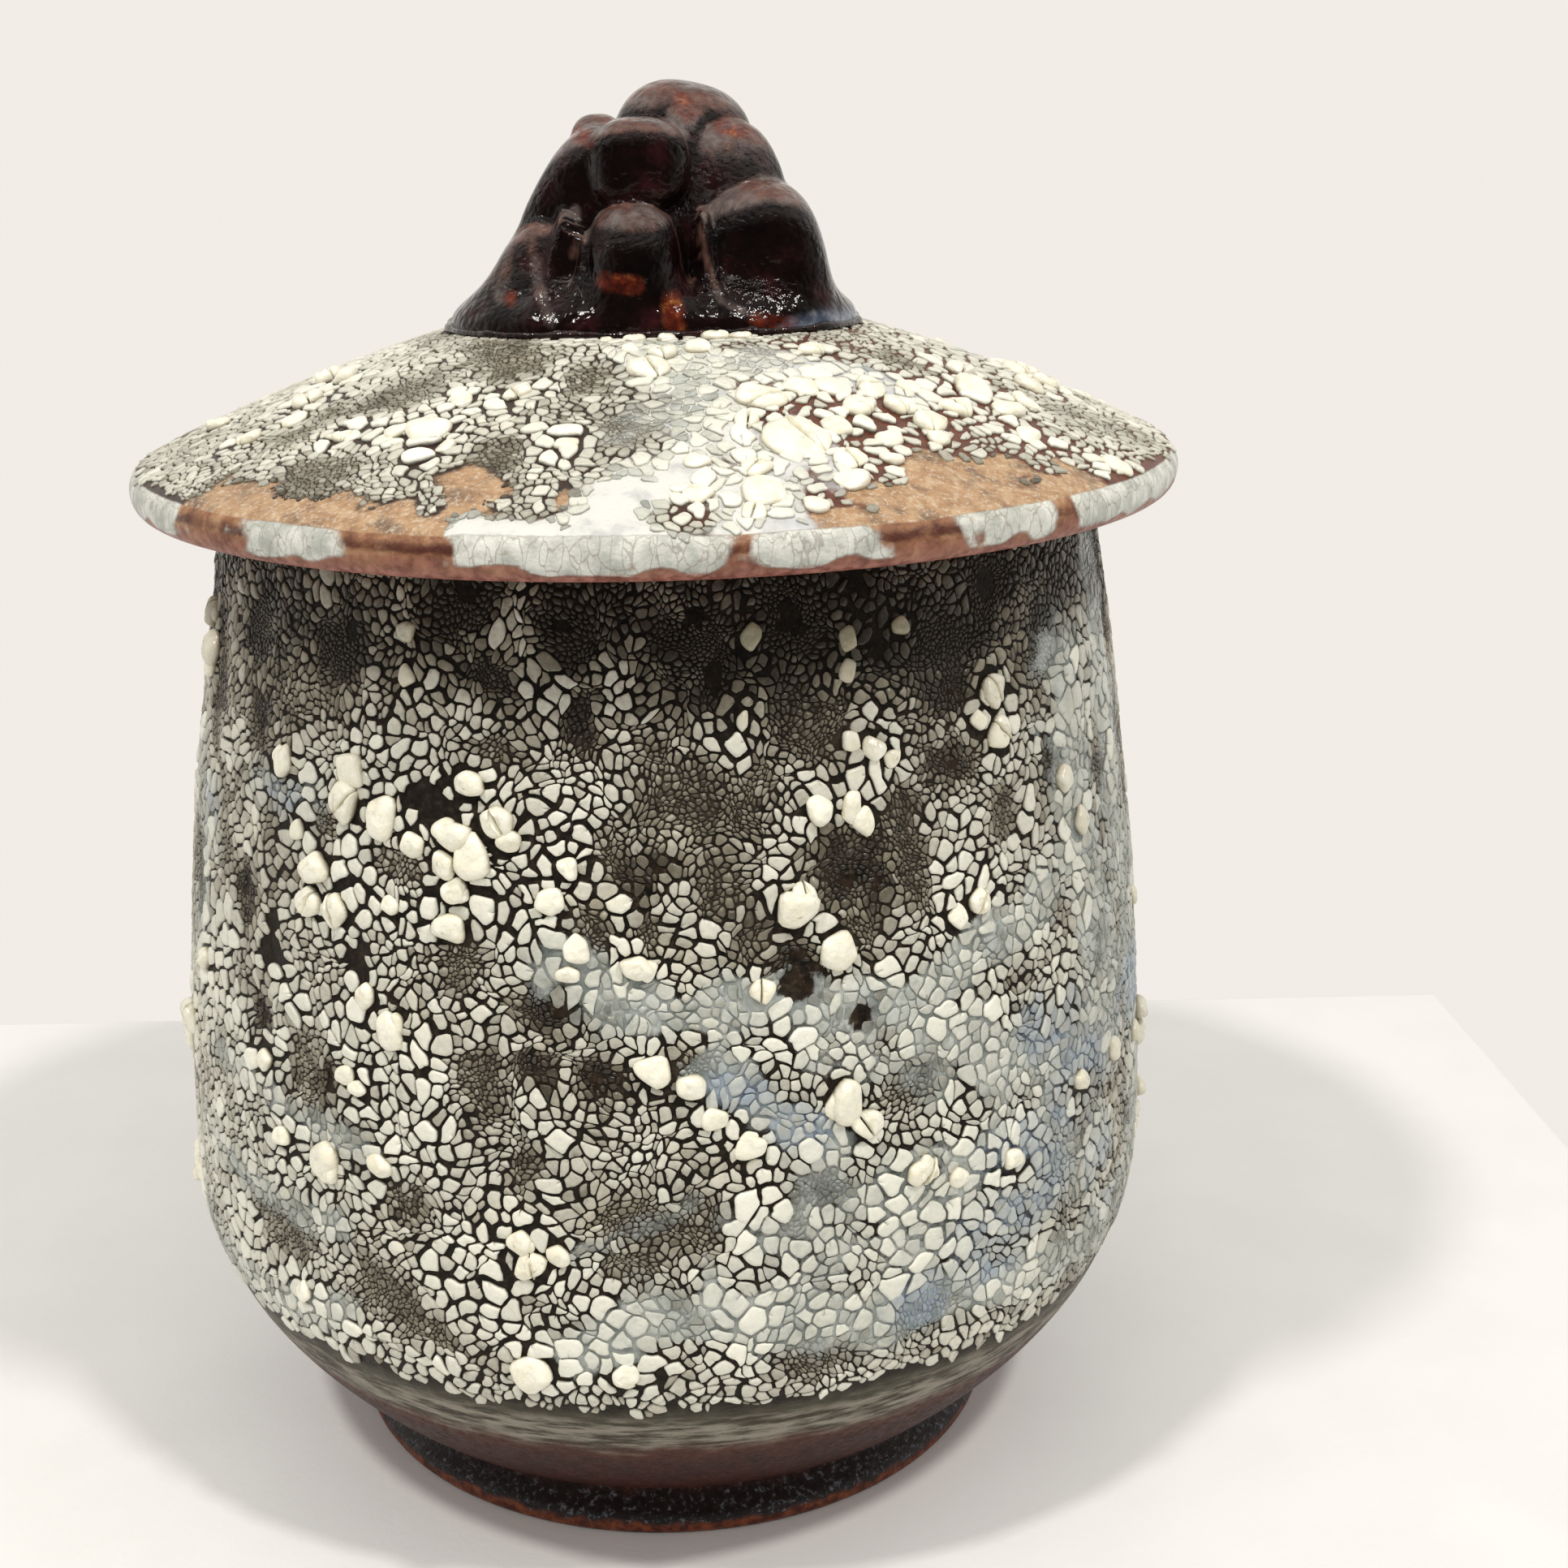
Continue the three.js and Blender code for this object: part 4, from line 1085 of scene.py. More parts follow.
def lid_undercoat_look():
    """The lid's coat under the crackle, its white splash, its ochre band and the glaze over its edge."""
    look = Look("lid_undercoat", Roughness=0.4, Specular_IOR_Level=0.35)
    far, veil, tan, tint = look.marks()
    drip, right, edge, _ = look.marks("edge_marks")
    mottle, fine = look.noise(1.3, 5, 0.65), look.noise(0.8, 4, 0.7)
    dark = look.ramp(
        mottle, (0.3, (0.014, 0.008, 0.006)), (0.6, (0.042, 0.02, 0.013)), (0.8, (0.1, 0.045, 0.026)),
    )
    rust = look.ramp(
        mottle, (0.3, (0.05, 0.015, 0.009)), (0.6, (0.14, 0.042, 0.022)), (0.8, (0.24, 0.09, 0.045)),
    )
    brown = look.cover((0.05, 0.035, 0.02), (0.13, 0.1, 0.065), fine, 0.3, 0.7)
    color = look.cover(look.mix(right, dark, rust), brown, far, 0.1, 0.36, 0.8, 0)
    drift = look.noise(3.2, 5, 0.6, 0.5)
    film = look.ragged(look.ragged(veil, drift, 0.5), fine, 0.4)
    milk = look.cover((0.5, 0.51, 0.5), (0.75, 0.74, 0.69), look.noise(4, 4), 0.25, 0.55)
    milk = look.mix(look.times(tint, look.fade(drift, 0.35, 0.6)), milk, (0.3, 0.36, 0.48))
    color = look.cover(color, milk, film, 0.2, 0.7, 0, 0.95)
    # Bare ochre band, smudged dark and dusted with pale glaze
    ochre = look.ramp(
        look.noise(2.2, 5, 0.62),
        (0.25, (0.24, 0.13, 0.065)), (0.5, (0.42, 0.25, 0.13)), (0.78, (0.58, 0.42, 0.26)),
    )
    ochre = look.cover(ochre, (0.1, 0.065, 0.045), look.noise(6, 4, 0.6), 0.34, 0.52, 0.75, 0)
    ochre = look.cover(ochre, (0.66, 0.58, 0.46), look.noise(0.7, 5, 0.75), 0.5, 0.64, 0, 0.6)
    color = look.cover(color, ochre, look.ragged(tan, look.noise(1.4, 4, 0.7), 0.7), 0.15, 0.65)
    # The edge: red-brown gloss with a dark line along it, over bare pinkish clay
    level = look.sum(look.part_of_place(2), look.times(look.part_of_place(0), -RIM_SLOPE))
    level = look.ragged(look.sum(level, -RIM_HEIGHT), look.noise(3, 3), 1.5)
    pink = look.cover((0.19, 0.06, 0.042), (0.4, 0.17, 0.13), look.noise(1.5, 4), 0.35, 0.65)
    gloss = look.ramp(
        look.noise(4, 5, 0.65), (0.3, (0.09, 0.03, 0.015)), (0.5, (0.27, 0.12, 0.055)),
        (0.64, (0.43, 0.25, 0.13)), (0.85, (0.56, 0.4, 0.25)),
    )
    gloss = look.cover(gloss, pink, level, 2.8, 4.2, 0.5, 0)
    line = look.times(look.fade(level, 3.6, 4.3), look.fade(level, 4.7, 5.6, 0.9, 0))
    line = look.times(line, look.fade(look.noise(5, 3), 0.35, 0.55, 0.4, 1))
    gloss = look.mix(line, gloss, (0.07, 0.014, 0.008))
    color = look.cover(color, gloss, edge, 0.25, 0.55)
    # Pale glaze that hangs over it, with upright cracks
    pale = look.cover((0.42, 0.43, 0.38), (0.72, 0.72, 0.65), look.noise(3, 4), 0.3, 0.7)
    pale = look.cover(pale, (0.3, 0.17, 0.1), look.noise(1.8, 3), 0.62, 0.75, 0, 0.5)
    upright = look.cracks(1.7, 0.3, look.scaled(look.place, (1.0, 1.0, 0.35)))
    pale = look.cover(pale, (0.24, 0.2, 0.16), upright, 0.015, 0.05, 0.5, 0)
    hang = look.ragged(drip, look.noise(1.6, 3), 0.4)
    color = look.cover(color, pale, hang, 0.3, 0.75)
    color = look.cover(color, pink, level, 1.0, 1.9, 0.95, 0)
    relief = look.sum(look.noise(0.5, 3), look.times(look.fade(hang, 0.3, 0.7), 1.4))
    rough = look.sum(look.fade(mottle, 0.3, 0.8, 0.3, 0.5), look.times(tan, 0.12))
    return look.finish(color, rough, relief, 0.16)


def bare_clay_look(name, colours):
    """Bare fired clay with fine grit and throwing lines."""
    look = Look(name, Roughness=0.7)
    dark, light = tuple(colours.bare_clay_dark), tuple(colours.bare_clay)
    grit = look.noise(0.45, 4, 0.7)
    color = look.cover(dark, light, look.sum(grit, look.times(look.noise(8, 4, 0.6), 0.7)), 0.6, 1.1)
    color = look.cover(color, tuple(0.3 * c for c in dark), look.noise(1.1, 2), 0.68, 0.74, 0, 0.6)
    lines = look.noise(1, 2, place=look.scaled(look.place, (0.03, 0.03, 1.6)))
    relief = look.sum(grit, look.times(lines, 1.6))
    return look.finish(color, look.fade(grit, 0.3, 0.8, 0.6, 0.8), relief, 0.14)


def liner_look():
    """Glossy brown-black glaze inside the jar and in the lid's hollow."""
    look = Look("liner_glaze", Roughness=0.18)
    tone = look.noise(7, 5, 0.6)
    color = look.ramp(
        tone, (0.3, (0.012, 0.006, 0.004)), (0.55, (0.03, 0.012, 0.007)), (0.8, (0.11, 0.034, 0.014)),
    )
    color = look.cover(color, (0.2, 0.09, 0.04), look.noise(0.6, 2), 0.68, 0.73, 0, 0.7)
    lines = look.noise(1, 2, place=look.scaled(look.place, (0.02, 0.02, 0.35)))
    relief = look.sum(look.noise(3, 2), look.times(lines, 2.0))
    return look.finish(color, look.fade(tone, 0.3, 0.8, 0.14, 0.26), relief, 0.25)


def foot_look():
    """Foot ring: a speckled black wash over iron-red clay, bare at its lower edge."""
    look = Look("foot_wash", Roughness=0.4, Specular_IOR_Level=0.3)
    wash = look.ramp(
        look.noise(1.4, 5, 0.7), (0.3, (0.004, 0.003, 0.003)), (0.6, (0.012, 0.008, 0.008)),
        (0.85, (0.045, 0.035, 0.034)),
    )
    wash = look.cover(wash, (0.2, 0.215, 0.25), look.noise(1.0, 5, 0.75), 0.52, 0.68, 0, 0.6)
    red = look.cover((0.055, 0.01, 0.004), (0.21, 0.055, 0.02), look.noise(1.6, 5, 0.65), 0.35, 0.68)
    level = look.ragged(look.part_of_place(2), look.noise(4, 4), 3.4)
    color = look.cover(red, wash, level, 1.7, 2.9)
    color = look.cover(color, look.mix(0.85, wash, (0.06, 0.017, 0.009)), level, 5.2, 7.6)
    rough = look.fade(look.noise(1.2, 3), 0.3, 0.7, 0.28, 0.5)
    return look.finish(color, rough, look.noise(0.6, 4, 0.65), 0.2)


def knob_look():
    """Almost black gloss, maroon over the lobes and rust on the ridges, with a painted mauve reflection of
    the pale room over the faces that turn up or sideways.
    """
    look = Look("knob_gloss", Roughness=0.12, Specular_IOR_Level=0.25)
    painted_sheen, amber, foot, bumpy = look.marks()
    color = look.ramp(
        look.noise(6, 5, 0.6), (0.35, (0.002, 0.001, 0.001)), (0.52, (0.006, 0.002, 0.002)),
        (0.66, (0.022, 0.005, 0.006)), (0.82, (0.06, 0.012, 0.009)),
    )
    brushed = look.noise(1.6, 4, 0.6, place=look.scaled(look.place, (1.0, 1.0, 0.3)))
    # Painted reflection of the pale room: mauve over the faces that turn up or sideways, streaked darker
    veil = look.ragged(look.ragged(painted_sheen, brushed, 0.6), look.noise(4, 3), 0.5)
    mauve = look.cover((0.17, 0.085, 0.065), (0.165, 0.13, 0.12), look.noise(7, 3), 0.42, 0.58)
    mauve = look.cover(mauve, (0.03, 0.014, 0.012), brushed, 0.35, 0.7, 0.5, 0)
    color = look.cover(color, mauve, veil, 0.25, 1.05, 0, 0.85)
    rust = look.ramp(
        look.noise(2.4, 5, 0.7),
        (0.35, (0.03, 0.004, 0.003)), (0.55, (0.13, 0.02, 0.008)), (0.72, (0.4, 0.14, 0.04)),
    )
    color = look.cover(color, rust, look.ragged(amber, look.noise(1.8, 5, 0.7), 0.9), 0.25, 1.2, 0, 0.85)
    haze = look.cover((0.1, 0.13, 0.2), (0.5, 0.54, 0.62), look.noise(2.2, 4), 0.35, 0.7)
    color = look.cover(color, haze, look.ragged(foot, look.noise(2.6, 4, 0.65), 0.5), 0.2, 1.0, 0, 0.9)
    fine = look.times(look.noise(0.8, 3, 0.6), look.sum(0.25, look.times(bumpy, 2.6)))
    relief = look.sum(fine, look.times(look.noise(3.2, 2), 2.0))
    rough = look.sum(look.fade(look.noise(1.4, 4), 0.3, 0.75, 0.05, 0.13), look.times(bumpy, 0.1))
    return look.finish(color, rough, relief, 0.32)


def roll_look():
    """Thick black gloss gathered in drops along the knob's foot."""
    look = Look("gloss_roll", Roughness=0.1)
    color = look.ramp(
        look.noise(3, 4, 0.6),
        (0.35, (0.004, 0.003, 0.003)), (0.6, (0.016, 0.006, 0.005)), (0.8, (0.09, 0.02, 0.01)),
    )
    return look.finish(color, look.fade(look.noise(1, 3), 0.3, 0.7, 0.06, 0.16), look.noise(0.9, 2), 0.2)


# Knob: each lobe's middle and half sizes from the middle of the knob's base, its sideways lean in degrees,
# and the flat that was pressed on it: which way it faces and how far out it is
KNOB_HEIGHT, KNOB_LEAN, KNOB_BASE = 35.4, 4.6, 24.7
KNOB_LOBES = [
    ((1.0, 1.0, 8.0), (18.5, 14.5, 19.5), 0, None),
    ((4.6, 4.5, 23.4), (11, 10, 11.8), 12, None),
    ((4.9, -4.5, 24.5), (3.6, 7.4, 7.2), 8, ((0.2, -0.85, 0.5), 5.2)),
    ((-7.6, -1, 25.6), (4.2, 5.2, 5.0), 0, None),
    ((-11.8, -5.5, 17), (6.2, 8, 13), 30, ((-0.35, -0.9, -0.1), 6.2)),
    ((-17.2, -5, 5), (7.6, 10, 12.2), 30, ((-0.3, -0.95, 0.0), 8.6)),
    ((-14.6, -11.5, 8), (1.7, 4.5, 9.5), 14, None),
    ((-10.2, -12.5, 6), (1.5, 4.5, 8), 6, None),
    ((-1.6, -8.6, 23.2), (7.5, 9.2, 6.9), 0, ((0.02, -0.99, -0.1), 7.4)),
    ((-2.8, -12.2, 9.0), (7.0, 9.4, 9.2), 0, None),
    ((12.2, -3, 21), (7.4, 9, 8.2), -24, ((0.3, -0.8, 0.5), 6.8)),
    ((16.4, -6.5, 8.8), (9.6, 12.4, 12.2), -14, ((0.14, -0.98, -0.1), 10.3)),
    ((8.2, -13.2, 8.2), (1.6, 4.4, 9), -5, None),
    ((10.5, 10, 12.5), (11.5, 9.5, 13), -10, None),
    ((-9, 9.5, 9), (12, 9.6, 14), 18, None),
]
KNOB_SKIRT = (31.0, 22.2, 7.4)  # half sizes of the foot that spreads from it
# Runs over the knob's front, across and up, with their half width: where a mauve reflection of the pale room
# is painted on the gloss
KNOB_SHEEN = [
    ([(-18, 14), (-16.5, 6), (-15, 2)], 0.8), ([(-21, 12), (-22.5, 5)], 0.8),
    ([(7, 15), (8.3, 8), (9.5, 4.5), (15.5, 1.8)], 0.45), ([(-11, 17), (-11.6, 11)], 0.7),
]
# The same for where it is thin and amber
KNOB_AMBER = [
    ([(5, 32.2), (6, 30.4)], 1.1), ([(10.5, 28.4), (14, 27.6)], 0.8), ([(-7, 7.6), (-2.6, 7)], 1.0),
    ([(2.6, 4.5), (3, 0.5)], 1.2), ([(-10.5, 27.8), (-8.6, 27)], 0.9), ([(15, 1.4), (20, 0.6)], 1.0),
    ([(-21, 5)], 0.9),
]
LOBE_POWER = 2.5  # 2 is a plain ellipsoid, more is squarer
FLAT_BLEND, CREASE, FOOT_BLEND = 3.6, 0.9, 4  # how wide the corners at flats, creases and foot are rounded
KNOB_REACH = 42.0  # farther out than any point of the knob
RAY_STEPS, RAY_SHARE, TOUCHING = 90, 0.7, 0.01
TINY = 1e-9


def lobe_distance(points, middle, half, lean):
    """Distance from points to a lobe, an ellipsoid squared off a little; negative inside."""
    turn, half = math.radians(lean), np.array(half)
    x, y, z = (points - np.array(middle)).T
    across, up = x * math.cos(turn) - z * math.sin(turn), x * math.sin(turn) + z * math.cos(turn)
    offsets = np.abs(np.stack([across, y, up], -1)) / half
    near = (offsets**LOBE_POWER).sum(-1) ** (1 / LOBE_POWER)
    slope = np.linalg.norm((offsets / np.maximum(near, TINY)[:, None]) ** (LOBE_POWER - 1) / half, axis=-1)
    return (near - 1) / np.maximum(slope, TINY)


def filled(a, b, width):
    """The lesser of two distances, with the corner where they meet filled over a width."""
    share = np.maximum(width - np.abs(a - b), 0) / width
    return np.minimum(a, b) - share * share * width / 4


def knob_distance(points):
    """Distance to the knob: lobes joined by filled creases, on a spread foot."""
    joined = None
    for middle, half, lean, flat in KNOB_LOBES:
        lobe = lobe_distance(points, middle, half, lean)
        if flat:
            way, out = flat
            lobe = -filled(-lobe, out - (points - np.array(middle)) @ np.array(way), FLAT_BLEND)
        joined = lobe if joined is None else filled(joined, lobe, CREASE)
    return filled(joined, lobe_distance(points, (0, 0, 0), KNOB_SKIRT, 0), FOOT_BLEND)


def knob_rings(rows, around):
    """Rings of points where rays from inside the knob last leave it, from its base to its crest."""
    share = np.arange(rows)[:, None] / rows
    turn = full_turn(around)[None]
    climb = math.pi / 2 * share**1.3
    start = np.stack([KNOB_LEAN * share + 0 * turn, 0 * share * turn, KNOB_HEIGHT / 2 * share + 0 * turn], -1)
    way = turned(turn, np.cos(climb), np.sin(climb) + 0 * turn)
    start, way = start.reshape(-1, 3), way.reshape(-1, 3)
    reach = np.full(len(start), KNOB_REACH)
    live = np.arange(len(start))
    for _ in range(RAY_STEPS):
        far = knob_distance(start[live] + way[live] * reach[live, None])
        reach[live] -= np.where(far > TOUCHING, np.maximum(far * RAY_SHARE, TOUCHING), 0)
        live = live[far > TOUCHING]
        if not len(live):
            break
    return (start + way * reach[:, None]).reshape(rows, around, 3)


def knob_marks(grid, turn):
    """What the knob's material reads: painted mauve reflection of the pale room, amber, haze along the foot,
    and how bumpy the gloss is.
    """
    facing = np.cross(np.roll(grid, -1, 1) - np.roll(grid, 1, 1), np.gradient(grid, axis=0))
    facing /= np.maximum(np.linalg.norm(facing, axis=-1, keepdims=True), TINY)
    (x, y, up), (_, back, top) = np.moveaxis(grid, -1, 0), np.moveaxis(facing, -1, 0)
    front, clear = smooth((4 - y) / 6), smooth((up - 4) / 5)
    painted_light, amber = (
        front * np.max([smooth(1.15 - along(x, up, points) / width / 2.2) for points, width in runs], 0)
        for runs in (KNOB_SHEEN, KNOB_AMBER)
    )
    # Painted reflection: mauve where the gloss faces up or sideways as if it mirrored the pale room, black
    # where it faces the front
    painted_sheen = np.maximum(smooth((top - 0.3) / 0.4), 0.9 * smooth((back + 0.42) / 0.4)) * clear
    bumpy = smooth(1.2 - np.abs(top - 0.42) / 0.28) * smooth(-back / 0.4) * clear
    side = smooth((np.sin(turn)[None] - 0.35) / 0.5) + 0 * up
    haze = smooth((5.5 * side - up) / 7) * side
    return np.stack([np.maximum(painted_sheen, 0.7 * painted_light), amber, haze, bumpy], -1)


def gloss_roll(edge, turn, rng):
    """Rings of points round a roll of gloss in drops along the knob's edge."""
    edge = edge * (1, 1, 0)
    outward = edge / np.linalg.norm(edge, axis=-1, keepdims=True)
    drops = 64
    lumps = np.interp(turn, np.linspace(0, 2 * math.pi, drops + 1), np.resize(rng.random(drops), drops + 1))
    thick = (0.5 + 0.6 * lumps * lumps)[:, None]
    return np.stack([
        edge + outward * thick * (0.2 + math.cos(a)) + np.array([0, 0, 1]) * (thick * math.sin(a) + KNOB_BASE)
        for a in full_turn(10)
    ])


class JarSizes(bpy.types.PropertyGroup):
    cell_pitch: FloatProperty(
        name="Crack pitch", description="Distance between the first, widest cracks of the glaze",
        default=6.8, min=4, max=14,
    )
    cell_height: FloatProperty(
        name="Island height", description="Height of the glaze islands, as a share of the usual one",
        default=1.0, min=0.2, max=2,
    )
    bead_height: FloatProperty(
        name="Bead height", description="Height of a raised bead over its half width",
        default=0.82, min=0.2, max=1.5,
    )
    wall_segments: IntProperty(
        name="Wall segments", description="Points round the wall's undercoat", default=480, min=60, max=720,
    )
    seed: IntProperty(name="Seed", description="Which pattern of cracks and beads is drawn", default=7)


class JarColours(bpy.types.PropertyGroup):
    cream: FloatVectorProperty(
        name="Warm cream", description="Warm cast of the thick glaze",
        subtype="COLOR", size=3, default=(0.86, 0.76, 0.56),
    )
    bare_clay: FloatVectorProperty(
        name="Bare clay", description="Light tone of the bare clay under the lid",
        subtype="COLOR", size=3, default=(0.42, 0.15, 0.09),
    )
    bare_clay_dark: FloatVectorProperty(
        name="Bare clay, dark", description="Dark tone of the bare clay",
        subtype="COLOR", size=3, default=(0.2, 0.055, 0.035),
    )


class StageLight(bpy.types.PropertyGroup):
    lamp_power: FloatProperty(
        name="Lamp power", description="Power of each gallery spot", default=8.7, min=0, unit="POWER",
    )
    room_light: FloatProperty(
        name="Room light", description="Strength of the even light of the white room",
        default=0.5, min=0, max=2,
    )
    front_light: FloatProperty(
        name="Front light", description="How much stronger the room's light is from the front",
        default=0.3, min=0, max=2,
    )
    near_side: FloatProperty(
        name="Near side", description="How bright the gloss sees the viewer's side of the room",
        default=0.09, min=0, max=1,
    )
    focal_length: FloatProperty(
        name="Focal length", description="Lens, in millimetres on a 36 mm sensor",
        default=48.65, min=10, max=200,
    )
    distance: FloatProperty(
        name="Camera distance", description="From the jar's axis, along the floor",
        default=0.333, unit="LENGTH",
    )
    camera_height: FloatProperty(
        name="Camera height", description="Above the floor", default=0.20925, unit="LENGTH",
    )


# The stage, in metres and radians
CAMERA_YAW, CAMERA_PITCH, CAMERA_ROLL = 0.0582, -0.3037, -0.0013
SPOTS = (("spot_right", 42, 57), ("spot_left", -45, 59))  # degrees from the front and over the floor
SPOT_WIDTH, SPOT_DISTANCE, SPOT_AIM = 0.13, 1.5, (0, 0, 0.1)
PLINTH_HALF, PLINTH_DEEP, PLINTH_EDGE = 0.19, 0.06, 0.0012
PLINTH_PLACE, PLINTH_TURN = (0, -0.04, 0), math.radians(-0.5)


class JAR_OT_stage(bpy.types.Operator):
    """Adds the plinth, the lamps, the white room and the camera"""

    bl_idname = "crawl_jar.stage"
    bl_label = "Stage and Camera"

    def execute(self, context):
        scene, light = context.scene, context.scene.stage_light
        self.add_camera(scene, light)
        self.add_lamps(scene, light)
        self.add_room(scene, light)
        self.add_plinth(scene)
        scene.view_settings.view_transform = "Standard"
        return {"FINISHED"}

    def add_camera(self, scene, light):
        """The camera, placed and turned as the photo was taken."""
        flat = math.cos(CAMERA_PITCH)
        ahead = Vector((math.sin(CAMERA_YAW) * flat, math.cos(CAMERA_YAW) * flat, math.sin(CAMERA_PITCH)))
        level = Vector((math.cos(CAMERA_YAW), -math.sin(CAMERA_YAW), 0))
        over = level.cross(ahead)
        right = level * math.cos(CAMERA_ROLL) + over * math.sin(CAMERA_ROLL)
        up = over * math.cos(CAMERA_ROLL) - level * math.sin(CAMERA_ROLL)
        data = bpy.data.cameras.new("photo_camera")
        data.lens, data.sensor_width, data.clip_start = light.focal_length, 36, 0.01
        camera = bpy.data.objects.new("photo_camera", data)
        camera.matrix_world = Matrix((
            (right.x, up.x, -ahead.x, 0),
            (right.y, up.y, -ahead.y, -light.distance),
            (right.z, up.z, -ahead.z, light.camera_height),
            (0, 0, 0, 1),
        ))
        scene.collection.objects.link(camera)
        scene.camera = camera

    def add_lamps(self, scene, light):
        """Two round gallery spots, aimed at the jar."""
        for name, side, rise in SPOTS:
            lamp = bpy.data.lights.new(name, "AREA")
            lamp.energy, lamp.shape, lamp.size = light.lamp_power, "DISK", SPOT_WIDTH
            lamp.color = 1.0, 0.97, 0.92
            rise = math.radians(rise)
            way = Vector(turned(math.radians(side), math.cos(rise), math.sin(rise)))
            spot = bpy.data.objects.new(name, lamp)
            spot.location = Vector(SPOT_AIM) + way * SPOT_DISTANCE
            spot.rotation_euler = (-way).to_track_quat("-Z", "Y").to_euler()
            scene.collection.objects.link(spot)

    def add_room(self, scene, light):
        """Even white light, and the pale wall that is seen behind and in the gloss."""
        world = scene.world = bpy.data.worlds.new("white_room")
        world.use_nodes = True
        world.node_tree.nodes.clear()
        room = Nodes(world.node_tree)
        back = room.node("SeparateXYZ", room.node("TexCoord").outputs["Generated"]).outputs["Y"]
        front_light = light.room_light + light.front_light
        strength = room.fade(back, 0.6, -0.9, light.room_light, front_light, "LINEAR")
        far_side = room.fade(back, -0.75, 0.35, light.near_side, 1, "LINEAR")
        rays = room.node("LightPath").outputs
        seen_straight = rays["Is Camera Ray"]
        lit = room.node("Background", (1, 0.985, 0.96, 1), strength).outputs[0]
        seen = room.node("Background", (0.885, 0.85, 0.795, 1), room.most(far_side, seen_straight)).outputs[0]
        looking = room.most(room.most(seen_straight, rays["Is Glossy Ray"]), rays["Is Transmission Ray"])
        room.node("OutputWorld", room.node("MixShader", looking, lit, seen).outputs[0])

    def add_plinth(self, scene):
        """The white plinth that the jar stands on, with softened edges."""
        square = ((-1, -1), (1, -1), (1, 1), (-1, 1))
        corners = [(x * PLINTH_HALF, y * PLINTH_HALF, z) for z in (-PLINTH_DEEP, 0) for x, y in square]
        faces = [(3, 2, 1, 0), (4, 5, 6, 7), (0, 1, 5, 4), (1, 2, 6, 5), (2, 3, 7, 6), (3, 0, 4, 7)]
        mesh = bpy.data.meshes.new("plinth")
        mesh.from_pydata(corners, [], faces)
        look = Look("plinth_paint", Roughness=0.75)
        color = look.cover((0.83, 0.82, 0.8), (0.86, 0.85, 0.83), look.noise(30, 4), 0.3, 0.7)
        mesh.materials.append(look.finish(color, None, look.noise(1.5, 4), 0.06))
        plinth = bpy.data.objects.new("plinth", mesh)
        plinth.location = PLINTH_PLACE
        plinth.rotation_euler.z = PLINTH_TURN
        scene.collection.objects.link(plinth)
        bevel = plinth.modifiers.new("edge", "BEVEL")
        bevel.width, bevel.segments = PLINTH_EDGE, 3


# Turned outlines, as radius and height
WALL_BELOW = [(4, 9.5), (20, 9.5), (40, 9.5), (49.5, 9.5), (53.5, 9.95)]
WALL_INSIDE = [
    (67.0, 154.6), (66.1, 155), (63.6, 155), (62.0, 154.7), (61.5, 153.8), (61.7, 150), (63.2, 140),
    (65.7, 125), (68.3, 108), (70.4, 92), (71.9, 76), (72.7, 60), (72.9, 47), (72.2, 39),
    (69.6, 31), (65.6, 24.5), (60.5, 19.6), (57, 17.2), (53.5, 16.1), (40, 16), (20, 16), (4, 16),
]
WALL_TOP_GAP, WALL_ROWS = 1.2, 148  # the outer rings end this far short of the rim's inner outline
BARE_RIM_ROWS = 4  # rings of the rim that are bare clay
FOOT_OUTLINE = [
    (46.2, 0), (53.2, 0), (53.75, 0.35), (54.1, 0.95), (54.2, 1.7),
    *curved([(54.2, 3.4), (49.5, 6.6), (49.5, 9.5)], 14),
    (43, 9.5), (43.1, 7), (43.7, 4), (44.8, 1.5), (45.6, 0.4),
]
FOOT_NECK = slice(5, 16)  # the rings of the foot that are a little out of round
LID_HOLLOW = curved([(0, 17.4), (28.15, 17.4), (56.3, 8.7), (56.3, 0.3)], 18)[1:]
LID_UNDER = [(58, 0.3), (61, 0.3), (67, 0.3), (72, 0.3)]
FLANGE_OUTLINE = [
    (56.3, -7), (56.6, -7.7), (57.3, -8), (59.3, -8), (60, -7.7), (60.3, -7), (60.3, -3.5), (60.3, 0),
    (58.3, 0), (56.3, 0), (56.3, -3.5),
]
TURNED_SEGMENTS, LID_SEGMENTS, KNOB_SEGMENTS, KNOB_ROWS = 240, 480, 300, 132
LID_SEED, KNOB_SEED = 20, 30  # added to the seed, so that the lid and the knob have patterns of their own
COAT, BARE, LINER = 0, 1, 2  # which of a piece's three materials a band of its faces has


